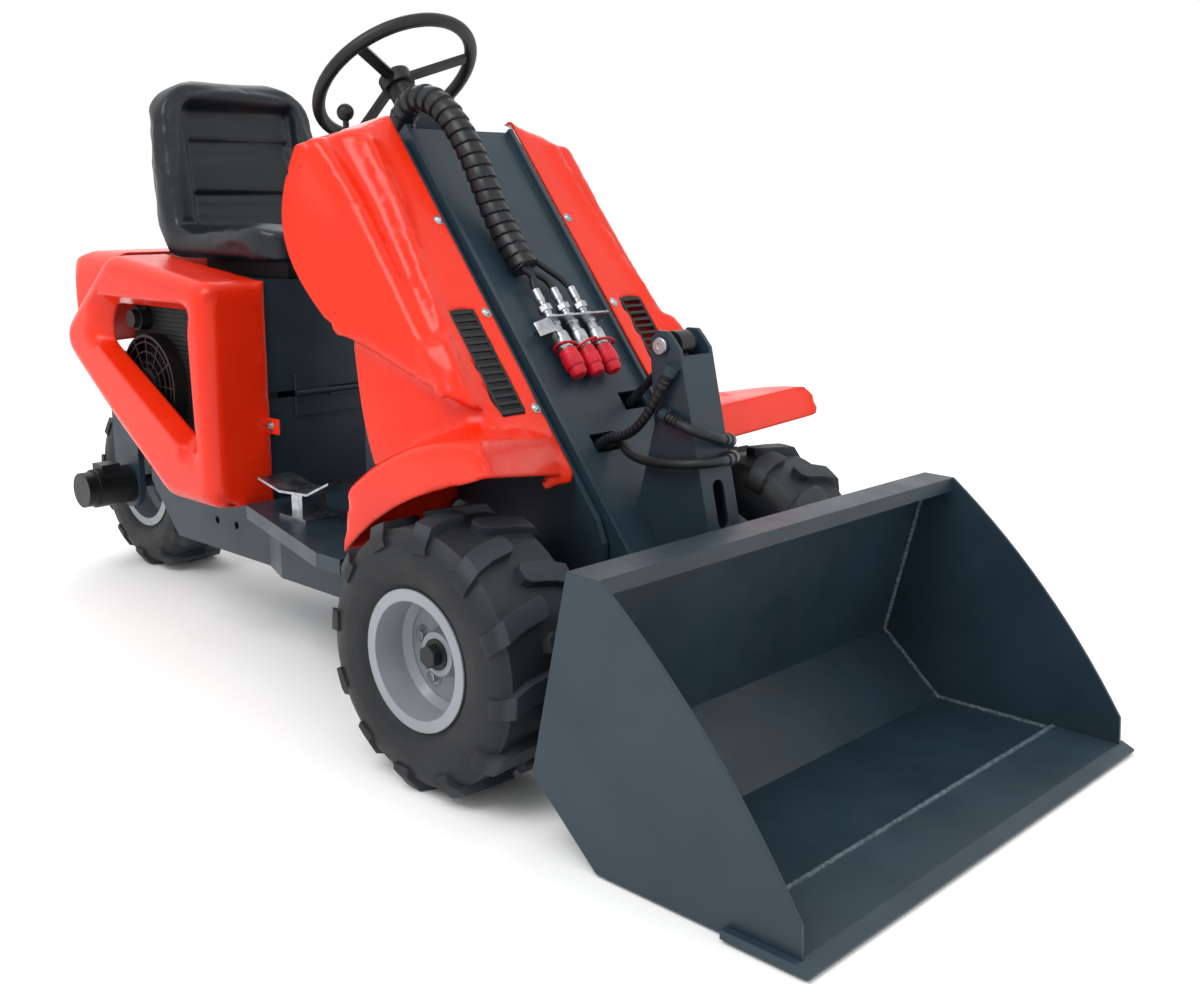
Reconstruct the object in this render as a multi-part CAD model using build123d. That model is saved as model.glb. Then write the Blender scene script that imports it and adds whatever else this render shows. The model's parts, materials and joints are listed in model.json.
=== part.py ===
"""Three-wheeled ride-on mini loader with a central boom, a tilting bucket and a steered rear wheel.

Frame: +X forward, +Y to the driver's left, +Z up, millimetres, wheels on z = 0.
Every piece is drawn with the front axle over x = 0 and moved at the end so that the
origin lies under the middle of the whole machine.
"""
from build123d import *
import math
import os

# Wheels: 18 x 8.50 - 8 lug tyres on deep-dish 8 inch rims
TYRE_R = 236.0
TYRE_W = 214.0
LUG_H = 17.0
LUG_COUNT = 12
LUG_WIDTH = 38.0
BEAD_R = 105.0
RIM_W = 184.0
RIM_FLANGE_R = 121.0
RIM_DROP_R = 92.0
RIM_WALL = 4.0
RIM_DISC_OFFSET = 22.0
RIM_DISC_T = 9.0
HUB_R = 44.0
HUB_LENGTH = 34.0
AXLE_SHAFT_R = 16.0
SHAFT_CLEAR = 0.4
TYRE_SEAT_GAP = 0.2
TRACK_HALF = 409.0
REAR_AXLE_X = -1610.0

# Frame under the floor
FRAME_BOTTOM = 190.0
FRAME_TOP = 330.0
FRAME_WALL = 8.0
FRAME_REAR_X = -1290.0
FRAME_REAR_HALF = 244.0
FRAME_JOG_X = -800.0
FRAME_JOG_LENGTH = 100.0
FRAME_FRONT_HALF = 283.0
FRAME_ARM_X = -130.0
FRAME_REAR_RISE = 110.0
SIDE_HOLE_X = -1005.0
SIDE_HOLE_Z = 258.0
SIDE_HOLE_PITCH = 78.0
SIDE_HOLE_R = 8.75

# Boom tower
TOWER_GAP = 7.0
TOWER_T = 12.0
TOWER_FRONT_X = 100.0
TOWER_REAR_X = -560.0
TOWER_SETBACK = 14.0
TOWER_BACK_TOP = 905.0

# Boom, pinned at the tower top
BOOM_PIVOT_X = -450.0
BOOM_PIVOT_Z = 1015.0
BOOM_ANGLE = 51.7
BOOM_HALF = 140.0
BOOM_PLATE = 10.0
BOOM_FRONT = 69.0
BOOM_RECESS = 12.0
BOOM_FACE_T = 8.0
BOOM_BACK = 62.0
BOOM_TOP = 58.0
BOOM_FACE_END = 880.0
BOOM_PIN_R = 20.0
BOOM_TUBE_R = 30.0
PIN_CLEAR = 0.4
BOOM_HOLE_W = 64.0
BOOM_HOLE_H = 38.0
BOOM_LOWER_HOLE = (650.0, -43.0)
BOOM_UPPER_HOLE = (575.0, 85.0)

# Bucket pivot at the boom's foot
FOOT_X = 172.0
FOOT_Z = 140.0
FOOT_R = 46.0
FOOT_PIN_R = 15.0
COUPLER_LUG_T = 15.0
COUPLER_GAP = 6.0
COUPLER_PLATE_T = 10.0
COUPLER_HALF = 230.0
COUPLER_LUG_R = 36.0
COUPLER_TOP_DROP = 85.0

# Mast with the tilt cylinder, standing on the boom's foot
MAST_HALF = 44.0
MAST_PLATE = 8.0
MAST_FRONT_T = 6.0
MAST_EAR_X = 126.0
MAST_EAR_Z = 723.0
MAST_EAR_R = 27.0
MAST_TOP_X = 165.0
MAST_TOP_Z = 718.0
MAST_FOOT_X = 241.0
MAST_FOOT_Z = 408.0
MAST_SLOT_W = 30.0
TILT_PIN_R = 13.0
TILT_BARREL_R = 21.0
TILT_ROD_R = 12.5
TILT_BARREL_LENGTH = 300.0
TILT_BORE_START = 36.0
TILT_ROD_START = 72.0
TILT_EYE_X = 212.0
TILT_EYE_Z = 240.0
TILT_EYE_R = 20.0
TILT_EYE_W = 36.0
EYE_SIDE_GAP = 1.0
TILT_LUG_T = 12.0

# Lift cylinder inside the tower
LIFT_LEVER = 220.0
LIFT_LEVER_TURN = 0.0
LIFT_BASE_X = -478.0
LIFT_BASE_Z = 400.0
LIFT_BARREL_R = 34.0
LIFT_BARREL_LENGTH = 345.0
LIFT_ROD_R = 18.0
LIFT_PIN_R = 15.0
LIFT_EYE_R = 30.0
LIFT_EYE_W = 46.0
LIFT_LUG_T = 12.0

# Bucket
BUCKET_W = 1000.0
BUCKET_PLATE = 6.0
BUCKET_BACK_TOP = (338.0, 455.0)
BUCKET_LIP_FRONT = (400.0, 454.0)
BUCKET_TIP = (757.0, 68.0)
BUCKET_BACK_FOOT = (269.0, 124.0)
BUCKET_FLOOR_BACK = (402.0, 6.0)
BUCKET_LIP_DROP = 26.0
BUCKET_CHEEK_BULGE = 16.0
BLADE_T = 14.0
BLADE_BACK_X = 640.0
BLADE_TIP_X = 781.0
BLADE_OVERHANG = 14.0

# Floor and running boards
BOARD_T = 6.0
BOARD_REAR_X = -796.0
BOARD_REAR_HALF = 300.0
BOARD_KINK_X = -370.0
BOARD_FRONT_X = -296.0
BOARD_HALF = 428.0
BOARD_FOLD = 24.0

# Rear body
SEAT_GAP = 0.3
SHELL_WALL = 5.0
REAR_FACE_X = -800.0
REAR_HALF = 375.0
REAR_TAIL_X = -1640.0
REAR_SHELL_BOTTOM = FRAME_TOP + SEAT_GAP
REAR_SHELL_TOP = 800.0
REAR_SHELL_PEAK = 846.0
REAR_PEAK_X = -1208.0
REAR_INNER = 226.0
REAR_KNEE_X = -1000.0
REAR_BEND = (-1243.0, 492.0)
REAR_TIP = (-1458.0, 652.0)
REAR_TIP_R = 60.0
REAR_EDGE_R = 38.0
REAR_RETURN = 322.0
HOOD_HALF = 318.0
HOOD_PEAK_X = -1450.0
HOOD_DROP = 110.0
HOOD_EDGE_R = 60.0
REAR_UNDER_Z = 612.0
SEAM_GAP = 0.3
WINDOW_MOUTH = ((-1262.0, 760.0), (-866.0, 758.0), (-854.0, 412.0), (-1296.0, 668.0))
WINDOW_THROAT = ((-1236.0, 738.0), (-896.0, 738.0), (-888.0, 452.0), (-1262.0, 656.0))
WINDOW_DEPTH = 46.0
WINDOW_R = 34.0

# Seat box, engine and cooler
SEAT_BOX_X = -814.0
SEAT_BOX_HALF = 222.0
SEAT_BOX_BACK = -1288.0
SEAT_BOX_TOP = 800.0
SEAT_BOX_WALL = 4.0
SEAT_HINGE_Z = 557.0
SEAT_HINGE_R = 6.0
ENGINE_LENGTH = 320.0
ENGINE_HALF = 170.0
ENGINE_HEIGHT = 480.0
ENGINE_FRONT_X = -850.0
COOLER_T = 42.0
COOLER_FACE = 284.0
COOLER_FAN_X = -1140.0
COOLER_FAN_Z = 560.0
COOLER_FAN_R = 112.0
COOLER_FAN_DEPTH = 34.0
COOLER_SPOKES = 12

# Seat
SEAT_HALF = 220.0
SEAT_TOP_HALF = 200.0
SEAT_FRONT_X = -778.0
SEAT_BACK_X = -1206.0
SEAT_LIP_Z = 908.0
SEAT_TOP_Z = 1237.0
SEAT_CORNER_R = 85.0
SEAT_BOLSTER = 28.0
SEAT_BOLSTER_W = 70.0
SEAT_BASE_Z = 838.0
SEAT_RAIL_HALF = 120.0

# Front shells: hand-laid plan sections, from the top down, as
# (height, panel half-width, ridge behind the panel, ridge half-width, rear edge x, rear half-width)
COWL_INNER = 159.3
PANEL_OUT = 60.0
BULGE_ROWS = (
    (1150.0, 236.0, 46.0, 310.0, -478.0, 330.0),
    (1040.0, 242.0, 46.0, 319.0, -490.0, 360.0),
    (930.0, 252.0, 46.0, 320.0, -492.0, 385.0),
    (826.0, 272.0, 46.0, 324.0, -444.0, 386.0),
    (735.0, 292.0, 40.0, 330.0, -366.0, 368.0),
    (600.0, 314.0, 30.0, 338.0, -290.0, 350.0),
)
NECK_ROWS = (
    (800.0, 280.0, 40.0, 303.0, -356.0, 345.0),
    (680.0, 278.0, 40.0, 301.0, -350.0, 336.0),
    (590.0, 286.0, 38.0, 310.0, -340.0, 332.0),
    (490.0, 306.0, 34.0, 326.0, -306.0, 332.0),
)
BULGE_TIP = (-105.0, 632.0)
BULGE_WAIST = (-348.0, 725.0)
COWL_TOP_INNER = 1118.0
COWL_TOP_SLOPE = 0.3

# Mudguard: side-view corners at the outer wall and beside the tower
FENDER_OUTER = 455.0
FENDER_EDGE_R = 24.0
FENDER_WALL_SHAPE = ((-245.0, 366.0), (-236.0, 480.0), (-83.0, 568.0), (100.0, 607.0), (132.0, 554.0),
                     (-35.0, 500.0), (-155.0, 438.0))
FENDER_ROOT_SHAPE = ((-268.0, 366.0), (-290.0, 520.0), (-150.0, 580.0), (-16.0, 560.0), (21.0, 500.0),
                     (-90.0, 484.0), (-184.0, 434.0))

# Vents in the front panels
VENT_START = 350.0
VENT_END = 567.0
VENT_IN = 195.0
VENT_OUT = 256.0
VENT_T = 4.0
VENT_SLOTS = 13
VENT_RIM = 6.0

# Steering and controls
COLUMN_LENGTH = 105.0
COLUMN_R = 26.0
WHEEL_X = -628.0
WHEEL_Z = 1200.0
WHEEL_TILT = 38.0
WHEEL_RING_R = 168.0
WHEEL_GRIP_R = 13.0
WHEEL_HUB_R = 34.0
DASH_Z = 985.0
PEDAL_Y = -268.0
PEDAL_HALF = 42.0
PEDAL_T = 5.0

# Rear steering fork
BEAM_HALF = 110.0
BEAM_BOTTOM = 500.0
BEAM_TOP = 580.0
BEAM_PLATE = 8.0
FORK_GAP = 10.0
FORK_T = 14.0
FORK_SIDE_IN = 122.0
FORK_SIDE_T = 16.0
FORK_HALF_W = 62.0
KINGPIN_R = 22.0
SLEW_R = 62.0
MOTOR_R = 50.0
MOTOR_LENGTH = 132.0

# Hoses and auxiliary couplings
BUNDLE_R = 27.0
COUPLING_R = 14.0
COUPLING_COLLAR_R = 17.0
COUPLING_LENGTH = 150.0
COUPLING_PITCH = 47.0
COUPLING_START = 335.0
COUPLING_STAND = 24.0
CAP_R = 20.0
CAP_LENGTH = 40.0
TILT_HOSE_R = 9.0
TILT_PORT_R = 13.0
TILT_PORT_LENGTH = 18.0

TYRE_REAR_X = REAR_AXLE_X - TYRE_R
CENTRE_X = (BLADE_TIP_X + TYRE_REAR_X) / 2

BOOM_COS = math.cos(math.radians(BOOM_ANGLE))
BOOM_SIN = math.sin(math.radians(BOOM_ANGLE))


def on_boom(along, out):
    """Side-view point of the machine at a distance down the boom and out from its pivot line."""
    x = BOOM_PIVOT_X + along * BOOM_COS + out * BOOM_SIN
    z = BOOM_PIVOT_Z - along * BOOM_SIN + out * BOOM_COS
    return (x, z)


def boom_place(x, z):
    """Distance down the boom and out from its pivot line of a side-view point."""
    dx = x - BOOM_PIVOT_X
    dz = z - BOOM_PIVOT_Z
    return (dx * BOOM_COS - dz * BOOM_SIN, dx * BOOM_SIN + dz * BOOM_COS)


def side_plate(points, y_low, y_high):
    """Flat plate from a side-view outline, between two widths."""
    face = make_face(Polyline(*points, close=True))
    return extrude(Plane.XZ.offset(-y_high) * face, y_high - y_low)


def floor_plate(points, z_low, z_high):
    """Flat plate from a plan outline, between two heights."""
    face = make_face(Polyline(*points, close=True))
    return extrude(Plane.XY.offset(z_low) * face, z_high - z_low)


def cross_bar(x, z, y_low, y_high, radius):
    """Round bar across the machine."""
    return Pos(x, (y_low + y_high) / 2, z) * Rot(90, 0, 0) * Cylinder(radius, y_high - y_low)


def bar_between(start, end, radius):
    """Round bar between two points."""
    line = Line(start, end)
    return sweep(Plane(start, z_dir=line % 0) * Circle(radius), path=line)


def mirrored(shape):
    """The same piece on the other side of the machine."""
    return mirror(shape, about=Plane.XZ)


def turned_profile(points):
    """Ring turned about the Y axis from points given as (width, radius)."""
    face = make_face(Polyline(*points, close=True))
    return revolve(Plane.YZ * face, Axis.Y)


# Wheels

def tyre():
    """Tyre centred on the origin with its axle along Y and chevron lugs out to the tread radius."""
    half = TYRE_W / 2
    tread = TYRE_R - LUG_H
    bead = RIM_W / 2
    neck = RIM_FLANGE_R + 3
    wall = [(bead, BEAD_R), (bead, neck), (half - 5, neck + 12), (half, neck + 40), (half - 2, tread - 36),
            (half - 9, tread - 14), (half - 24, tread)]
    profile = [(-y, r) for y, r in wall] + wall[::-1]
    carcass = turned_profile(profile)
    deep = tread - 2 * LUG_H
    shoulder = tread - LUG_H + 4
    envelope = turned_profile([(-half, deep), (-half, shoulder), (-half + 20, TYRE_R - 3), (0, TYRE_R),
                               (half - 20, TYRE_R - 3), (half, shoulder), (half, deep)])
    pitch = 360.0 / LUG_COUNT
    envelope = Rot(0, pitch / 4, 0) * envelope
    w = LUG_WIDTH / 2
    end = half + 6
    outline = [(-w + 8, -10), (w - 8, -10), (w, 0), (w + 8, 0.45 * half), (w + 30, end), (-w + 32, end),
               (-w + 8, 0.5 * half), (-w, 0)]
    base = tread - 1.8 * LUG_H
    bar = extrude(Plane.XY.offset(base) * make_face(Polyline(*outline, close=True)), TYRE_R + 4 - base)
    other = mirrored(bar)
    bars = [Rot(0, k * pitch, 0) * bar for k in range(LUG_COUNT)]
    bars += [Rot(0, (k + 0.5) * pitch, 0) * other for k in range(LUG_COUNT)]
    lugs = [bar_k & envelope for bar_k in bars]
    return carcass.fuse(*[s for lug in lugs for s in lug.solids()])


def rim():
    """Deep-dish rim centred on the origin, dish open towards +Y."""
    half = RIM_W / 2
    seat = BEAD_R - TYRE_SEAT_GAP
    inner = seat - RIM_WALL
    drop = RIM_DROP_R
    well = half * 0.45
    lip = RIM_WALL
    profile = [(-half - lip, RIM_FLANGE_R), (-half - TYRE_SEAT_GAP, RIM_FLANGE_R), (-half - TYRE_SEAT_GAP, seat),
               (-well - 12, seat), (-well, drop), (well - 20, drop), (well - 8, seat),
               (half + TYRE_SEAT_GAP, seat), (half + TYRE_SEAT_GAP, RIM_FLANGE_R), (half + lip, RIM_FLANGE_R),
               (half + lip, inner), (well - 4, inner), (well - 16, drop - RIM_WALL), (-well + 4, drop - RIM_WALL),
               (-well - 8, inner), (-half - lip, inner)]
    ring = turned_profile(profile)
    disc_in = RIM_DISC_OFFSET - RIM_DISC_T
    disc = turned_profile([(disc_in, AXLE_SHAFT_R + SHAFT_CLEAR), (disc_in, drop - 1), (RIM_DISC_OFFSET, drop - 1),
                           (RIM_DISC_OFFSET, HUB_R), (disc_in + HUB_LENGTH, HUB_R - 6),
                           (disc_in + HUB_LENGTH, AXLE_SHAFT_R + SHAFT_CLEAR)])
    return ring + disc


def wheel_place(y):
    """Place of a front wheel."""
    return Pos(0, y, TYRE_R)


def front_motor():
    """Hydraulic wheel motor bolted to the left tower plate, with the shaft that carries the wheel."""
    face = BOOM_HALF + TOWER_GAP + TOWER_T
    disc_in = TRACK_HALF + RIM_DISC_OFFSET - RIM_DISC_T
    body_end = disc_in - 24
    flange = Pos(0, face + 7, TYRE_R) * Box(126, 14, 126)
    flange = fillet(flange.edges().filter_by(Axis.Y), 18)
    body = cross_bar(0, TYRE_R, face, body_end, MOTOR_R)
    shaft = cross_bar(0, TYRE_R, body_end, disc_in + HUB_LENGTH + 8, AXLE_SHAFT_R)
    return flange + body + shaft


# Frame, floor and tower

def frame():
    """Welded tray under the floor with a jogged outline and a raised tail."""
    jog = FRAME_JOG_X + FRAME_JOG_LENGTH
    inner = BOOM_HALF + TOWER_GAP + TOWER_T + 0.3

    def outline(grow):
        rear = FRAME_REAR_HALF - grow
        front = FRAME_FRONT_HALF - grow
        hole = inner + grow
        back = FRAME_REAR_X + grow
        tip = FRAME_ARM_X - grow
        bay = TOWER_REAR_X - 0.3 - grow
        return [(back, -rear), (FRAME_JOG_X, -rear), (jog, -front), (tip, -front), (tip, -hole), (bay, -hole),
                (bay, hole), (tip, hole), (tip, front), (jog, front), (FRAME_JOG_X, rear), (back, rear)]

    tray = floor_plate(outline(0), FRAME_BOTTOM, FRAME_TOP)
    tray -= floor_plate(outline(FRAME_WALL), FRAME_BOTTOM + FRAME_WALL, FRAME_TOP + 1)
    wedge = side_plate([(FRAME_REAR_X - 1, FRAME_BOTTOM - 1), (FRAME_REAR_X + FRAME_REAR_RISE, FRAME_BOTTOM - 1),
                        (FRAME_REAR_X - 1, FRAME_TOP - 20)], -FRAME_REAR_HALF - 1, FRAME_REAR_HALF + 1)
    holes = [cross_bar(x, SIDE_HOLE_Z, -FRAME_REAR_HALF - 1, FRAME_REAR_HALF + 1, SIDE_HOLE_R)
             for x in (SIDE_HOLE_X, SIDE_HOLE_X + SIDE_HOLE_PITCH)]
    return tray - wedge - holes[0] - holes[1]


def tower():
    """Two side plates and a back wall that carry the boom pin, the lift cylinder and the wheel motors."""
    y_in = BOOM_HALF + TOWER_GAP
    out = BOOM_FRONT - TOWER_SETBACK
    top = on_boom(-34, out)
    low = on_boom(790, out)
    outline = [top, low, (TOWER_FRONT_X, low[1] - 40), (TOWER_FRONT_X, FRAME_BOTTOM), (TOWER_REAR_X, FRAME_BOTTOM),
               (TOWER_REAR_X, TOWER_BACK_TOP), (BOOM_PIVOT_X - 62, BOOM_PIVOT_Z + 22), (BOOM_PIVOT_X - 30, top[1] - 4)]
    left = side_plate(outline, y_in, y_in + TOWER_T)
    back = Pos(TOWER_REAR_X + TOWER_T / 2, 0, (FRAME_BOTTOM + TOWER_BACK_TOP) / 2) * Box(
        TOWER_T, 2 * y_in, TOWER_BACK_TOP - FRAME_BOTTOM)
    lug_in = LIFT_EYE_W / 2 + EYE_SIDE_GAP
    lug_line = [(TOWER_REAR_X + TOWER_T, LIFT_BASE_Z - 60), (LIFT_BASE_X + LIFT_EYE_R, LIFT_BASE_Z - 14),
                (LIFT_BASE_X + LIFT_EYE_R, LIFT_BASE_Z + 14), (TOWER_REAR_X + TOWER_T, LIFT_BASE_Z + 50)]
    lug = side_plate(lug_line, lug_in, lug_in + LIFT_LUG_T)
    pin = cross_bar(LIFT_BASE_X, LIFT_BASE_Z, -lug_in - LIFT_LUG_T, lug_in + LIFT_LUG_T, LIFT_PIN_R)
    boom_pin = cross_bar(BOOM_PIVOT_X, BOOM_PIVOT_Z, -y_in - TOWER_T, y_in + TOWER_T, BOOM_PIN_R)
    return left.fuse(mirrored(left), back, lug, mirrored(lug), pin, boom_pin)


def boards():
    """Floor plate and flared running boards with a folded-down edge, cut round the tower."""
    cut_half = BOOM_HALF + TOWER_GAP + TOWER_T + 0.3
    cut_x = TOWER_REAR_X - 0.3
    points = [(BOARD_REAR_X, -BOARD_REAR_HALF), (BOARD_KINK_X, -BOARD_HALF), (BOARD_FRONT_X, -BOARD_HALF),
              (BOARD_FRONT_X, -cut_half), (cut_x, -cut_half), (cut_x, cut_half), (BOARD_FRONT_X, cut_half),
              (BOARD_FRONT_X, BOARD_HALF), (BOARD_KINK_X, BOARD_HALF), (BOARD_REAR_X, BOARD_REAR_HALF)]
    plate = floor_plate(points, FRAME_TOP, FRAME_TOP + BOARD_T)
    t = BOARD_T * 0.8
    edge = [(BOARD_REAR_X, BOARD_REAR_HALF), (BOARD_KINK_X, BOARD_HALF), (BOARD_FRONT_X, BOARD_HALF),
            (BOARD_FRONT_X, BOARD_HALF - t), (BOARD_KINK_X, BOARD_HALF - t), (BOARD_REAR_X, BOARD_REAR_HALF - t)]
    fold = floor_plate(edge, FRAME_TOP - BOARD_FOLD, FRAME_TOP)
    return plate.fuse(fold, mirrored(fold))


def rear_beam():
    """Raised beam over the rear wheel that carries the kingpin housing."""
    foot_x = FRAME_REAR_X + 100
    front = FRAME_REAR_X - 38
    tail = REAR_AXLE_X - 90
    outline = [(foot_x, FRAME_TOP), (front, FRAME_TOP), (front - 8, BEAM_BOTTOM), (tail, BEAM_BOTTOM),
               (tail, BEAM_TOP), (front + 40, BEAM_TOP), (foot_x, BEAM_BOTTOM - 30)]
    left = side_plate(outline, BEAM_HALF - BEAM_PLATE, BEAM_HALF)
    deck = Pos((front - 8 + tail) / 2, 0, BEAM_BOTTOM + BEAM_PLATE / 2) * Box(front - 8 - tail, 2 * BEAM_HALF, BEAM_PLATE)
    foot = Pos((foot_x + FRAME_REAR_X) / 2, 0, FRAME_TOP + BEAM_PLATE / 2) * Box(
        foot_x - FRAME_REAR_X, 2 * FRAME_REAR_HALF, BEAM_PLATE)
    housing = Pos(REAR_AXLE_X, 0, (BEAM_BOTTOM + BEAM_TOP) / 2 + 10) * Cylinder(SLEW_R, BEAM_TOP - BEAM_BOTTOM + 20)
    bore = Pos(REAR_AXLE_X, 0, BEAM_BOTTOM) * Cylinder(KINGPIN_R + PIN_CLEAR, 400)
    return left.fuse(mirrored(left), deck, foot, housing) - bore


# Rear fork

def rear_fork():
    """Single-sided steering fork with its kingpin, standing beside the wheel on the right."""
    top = BEAM_BOTTOM - 0.5
    plate_top = top - 6
    plate_low = plate_top - FORK_T
    pin = Pos(REAR_AXLE_X, 0, (plate_low + BEAM_TOP + 20) / 2) * Cylinder(KINGPIN_R, BEAM_TOP + 20 - plate_low)
    ring = Pos(REAR_AXLE_X, 0, (plate_top + top) / 2) * Cylinder(SLEW_R, top - plate_top)
    out = FORK_SIDE_IN + FORK_SIDE_T
    crown = Pos(REAR_AXLE_X, (SLEW_R - out) / 2, (plate_low + plate_top) / 2) * Box(
        2 * FORK_HALF_W, SLEW_R + out, FORK_T)
    crown = fillet(crown.edges().filter_by(Axis.Z).sort_by(Axis.Y)[-2:], FORK_HALF_W * 0.8)
    side = side_plate([(REAR_AXLE_X - FORK_HALF_W, plate_top), (REAR_AXLE_X + FORK_HALF_W, plate_top),
                       (REAR_AXLE_X + FORK_HALF_W, TYRE_R), (REAR_AXLE_X - FORK_HALF_W, TYRE_R)], -out, -FORK_SIDE_IN)
    boss = cross_bar(REAR_AXLE_X, TYRE_R, -out, -FORK_SIDE_IN, FORK_HALF_W)
    shaft = cross_bar(REAR_AXLE_X, TYRE_R, -out, RIM_DISC_T - RIM_DISC_OFFSET + 8, AXLE_SHAFT_R)
    return pin.fuse(ring, crown, side, boss, shaft)


def rear_motor():
    """Orbital wheel motor on the fork's outer face, with its bolted end cap."""
    face = FORK_SIDE_IN + FORK_SIDE_T
    cap = MOTOR_LENGTH * 0.24
    body = cross_bar(REAR_AXLE_X, TYRE_R, -face - MOTOR_LENGTH + cap, -face, MOTOR_R)
    end = cross_bar(REAR_AXLE_X, TYRE_R, -face - MOTOR_LENGTH, -face - MOTOR_LENGTH + cap, MOTOR_R * 0.9)
    port = Pos(REAR_AXLE_X, -face - MOTOR_LENGTH * 0.45, TYRE_R + MOTOR_R) * Box(52, 50, 24)
    return body.fuse(end, port)


# Boom group

def boom():
    """Open channel: two side rails, a recessed face plate and a cross tube, with the lift cylinder's lugs."""
    foot = boom_place(FOOT_X, FOOT_Z)
    rail = [(-BOOM_TOP, BOOM_FRONT), (BOOM_FACE_END, BOOM_FRONT), (foot[0] + FOOT_R * 0.6, foot[1] + FOOT_R * 0.8),
            (foot[0] + FOOT_R, foot[1]), (foot[0] + FOOT_R * 0.6, foot[1] - FOOT_R * 0.8),
            (foot[0] - 2 * FOOT_R, foot[1] - FOOT_R), (0.5 * foot[0], -BOOM_BACK), (-0.6 * BOOM_TOP, -BOOM_BACK),
            (-BOOM_TOP, -0.4 * BOOM_BACK)]
    points = [on_boom(*p) for p in rail]
    bore = cross_bar(BOOM_PIVOT_X, BOOM_PIVOT_Z, -BOOM_HALF - 1, BOOM_HALF + 1, BOOM_PIN_R + PIN_CLEAR)
    left = side_plate(points, BOOM_HALF - BOOM_PLATE, BOOM_HALF) - bore
    foot_pin = cross_bar(FOOT_X, FOOT_Z, -BOOM_HALF - 6, BOOM_HALF + 6, FOOT_PIN_R)
    face_out = BOOM_FRONT - BOOM_RECESS
    face_line = [(-BOOM_TOP, face_out), (BOOM_FACE_END, face_out), (BOOM_FACE_END, face_out - BOOM_FACE_T),
                 (-BOOM_TOP, face_out - BOOM_FACE_T)]
    face = side_plate([on_boom(*p) for p in face_line], -BOOM_HALF + BOOM_PLATE, BOOM_HALF - BOOM_PLATE)
    tube_place = on_boom(BOOM_FACE_END - 40, -10)
    tube = cross_bar(*tube_place, -BOOM_HALF + BOOM_PLATE, BOOM_HALF - BOOM_PLATE, BOOM_TUBE_R)
    lug_in = LIFT_EYE_W / 2 + EYE_SIDE_GAP
    eye = lift_eye()
    eye_place = boom_place(*eye)
    lug_line = [(eye_place[0] - 60, face_out - BOOM_FACE_T), (eye_place[0] + 60, face_out - BOOM_FACE_T),
                (eye_place[0] + LIFT_EYE_R, eye_place[1] - 14), (eye_place[0] - LIFT_EYE_R, eye_place[1] - 14)]
    lug = side_plate([on_boom(*p) for p in lug_line], lug_in, lug_in + LIFT_LUG_T)
    body = left.fuse(mirrored(left), face, tube, lug, mirrored(lug), foot_pin)
    for along, y in (BOOM_LOWER_HOLE, BOOM_UPPER_HOLE):
        low, high = along - BOOM_HOLE_H / 2, along + BOOM_HOLE_H / 2
        line = [(low, 0), (high, 0), (high, BOOM_FRONT), (low, BOOM_FRONT)]
        body -= side_plate([on_boom(*p) for p in line], y - BOOM_HOLE_W / 2, y + BOOM_HOLE_W / 2)
    return body


def lift_eye():
    """Side-view place of the lift cylinder's upper pin at rest, on the line from the boom pivot to its foot."""
    dx = FOOT_X - BOOM_PIVOT_X
    dz = FOOT_Z - BOOM_PIVOT_Z
    turn = math.atan2(dz, dx) + math.radians(LIFT_LEVER_TURN)
    return (BOOM_PIVOT_X + LIFT_LEVER * math.cos(turn), BOOM_PIVOT_Z + LIFT_LEVER * math.sin(turn))


def mast_line(z):
    """Front face of the mast in side view at a height."""
    return MAST_TOP_X + (MAST_TOP_Z - z) * (MAST_FOOT_X - MAST_TOP_X) / (MAST_TOP_Z - MAST_FOOT_Z)


def mast():
    """Upright channel on the boom's lower face: two eared side plates and a slotted front plate."""
    face_out = BOOM_FRONT - BOOM_RECESS
    low = on_boom(BOOM_FACE_END - 4, face_out)
    high = on_boom(BOOM_FACE_END - 100, face_out)
    knee_z = 0.58 * MAST_TOP_Z + 0.42 * MAST_FOOT_Z
    back_x = MAST_EAR_X - 0.45 * MAST_EAR_R
    outline = [low, (mast_line(MAST_FOOT_Z), MAST_FOOT_Z), (MAST_TOP_X, MAST_TOP_Z), (MAST_EAR_X + 0.9 * MAST_EAR_R, MAST_EAR_Z + 0.45 * MAST_EAR_R),
               (MAST_EAR_X + 0.4 * MAST_EAR_R, MAST_EAR_Z + 0.95 * MAST_EAR_R), (MAST_EAR_X - 0.4 * MAST_EAR_R, MAST_EAR_Z + 0.95 * MAST_EAR_R),
               (MAST_EAR_X - 0.95 * MAST_EAR_R, MAST_EAR_Z + 0.4 * MAST_EAR_R), (MAST_EAR_X - 0.95 * MAST_EAR_R, MAST_EAR_Z - 0.4 * MAST_EAR_R),
               (back_x, knee_z), high]
    left = side_plate(outline, MAST_HALF - MAST_PLATE, MAST_HALF)
    plate_top = MAST_TOP_Z - 10
    front = side_plate([(mast_line(plate_top), plate_top), (mast_line(MAST_FOOT_Z), MAST_FOOT_Z),
                        (mast_line(MAST_FOOT_Z) - MAST_FRONT_T, MAST_FOOT_Z), (mast_line(plate_top) - MAST_FRONT_T, plate_top)],
                       -MAST_HALF + MAST_PLATE, MAST_HALF - MAST_PLATE)
    slot_z = MAST_FOOT_Z + 46
    slot = Pos(mast_line(slot_z), 0, slot_z) * Box(60, MAST_SLOT_W, 84)
    front -= fillet(slot.edges().filter_by(Axis.X), MAST_SLOT_W * 0.45)
    pin = cross_bar(MAST_EAR_X, MAST_EAR_Z, -MAST_HALF - 3, MAST_HALF + 3, TILT_PIN_R)
    return left.fuse(mirrored(left), front, pin, *tilt_ports())


def tilt_line():
    """Start, end and length of the tilt cylinder's pin-to-pin line in side view."""
    return math.hypot(TILT_EYE_X - MAST_EAR_X, TILT_EYE_Z - MAST_EAR_Z)


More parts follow.
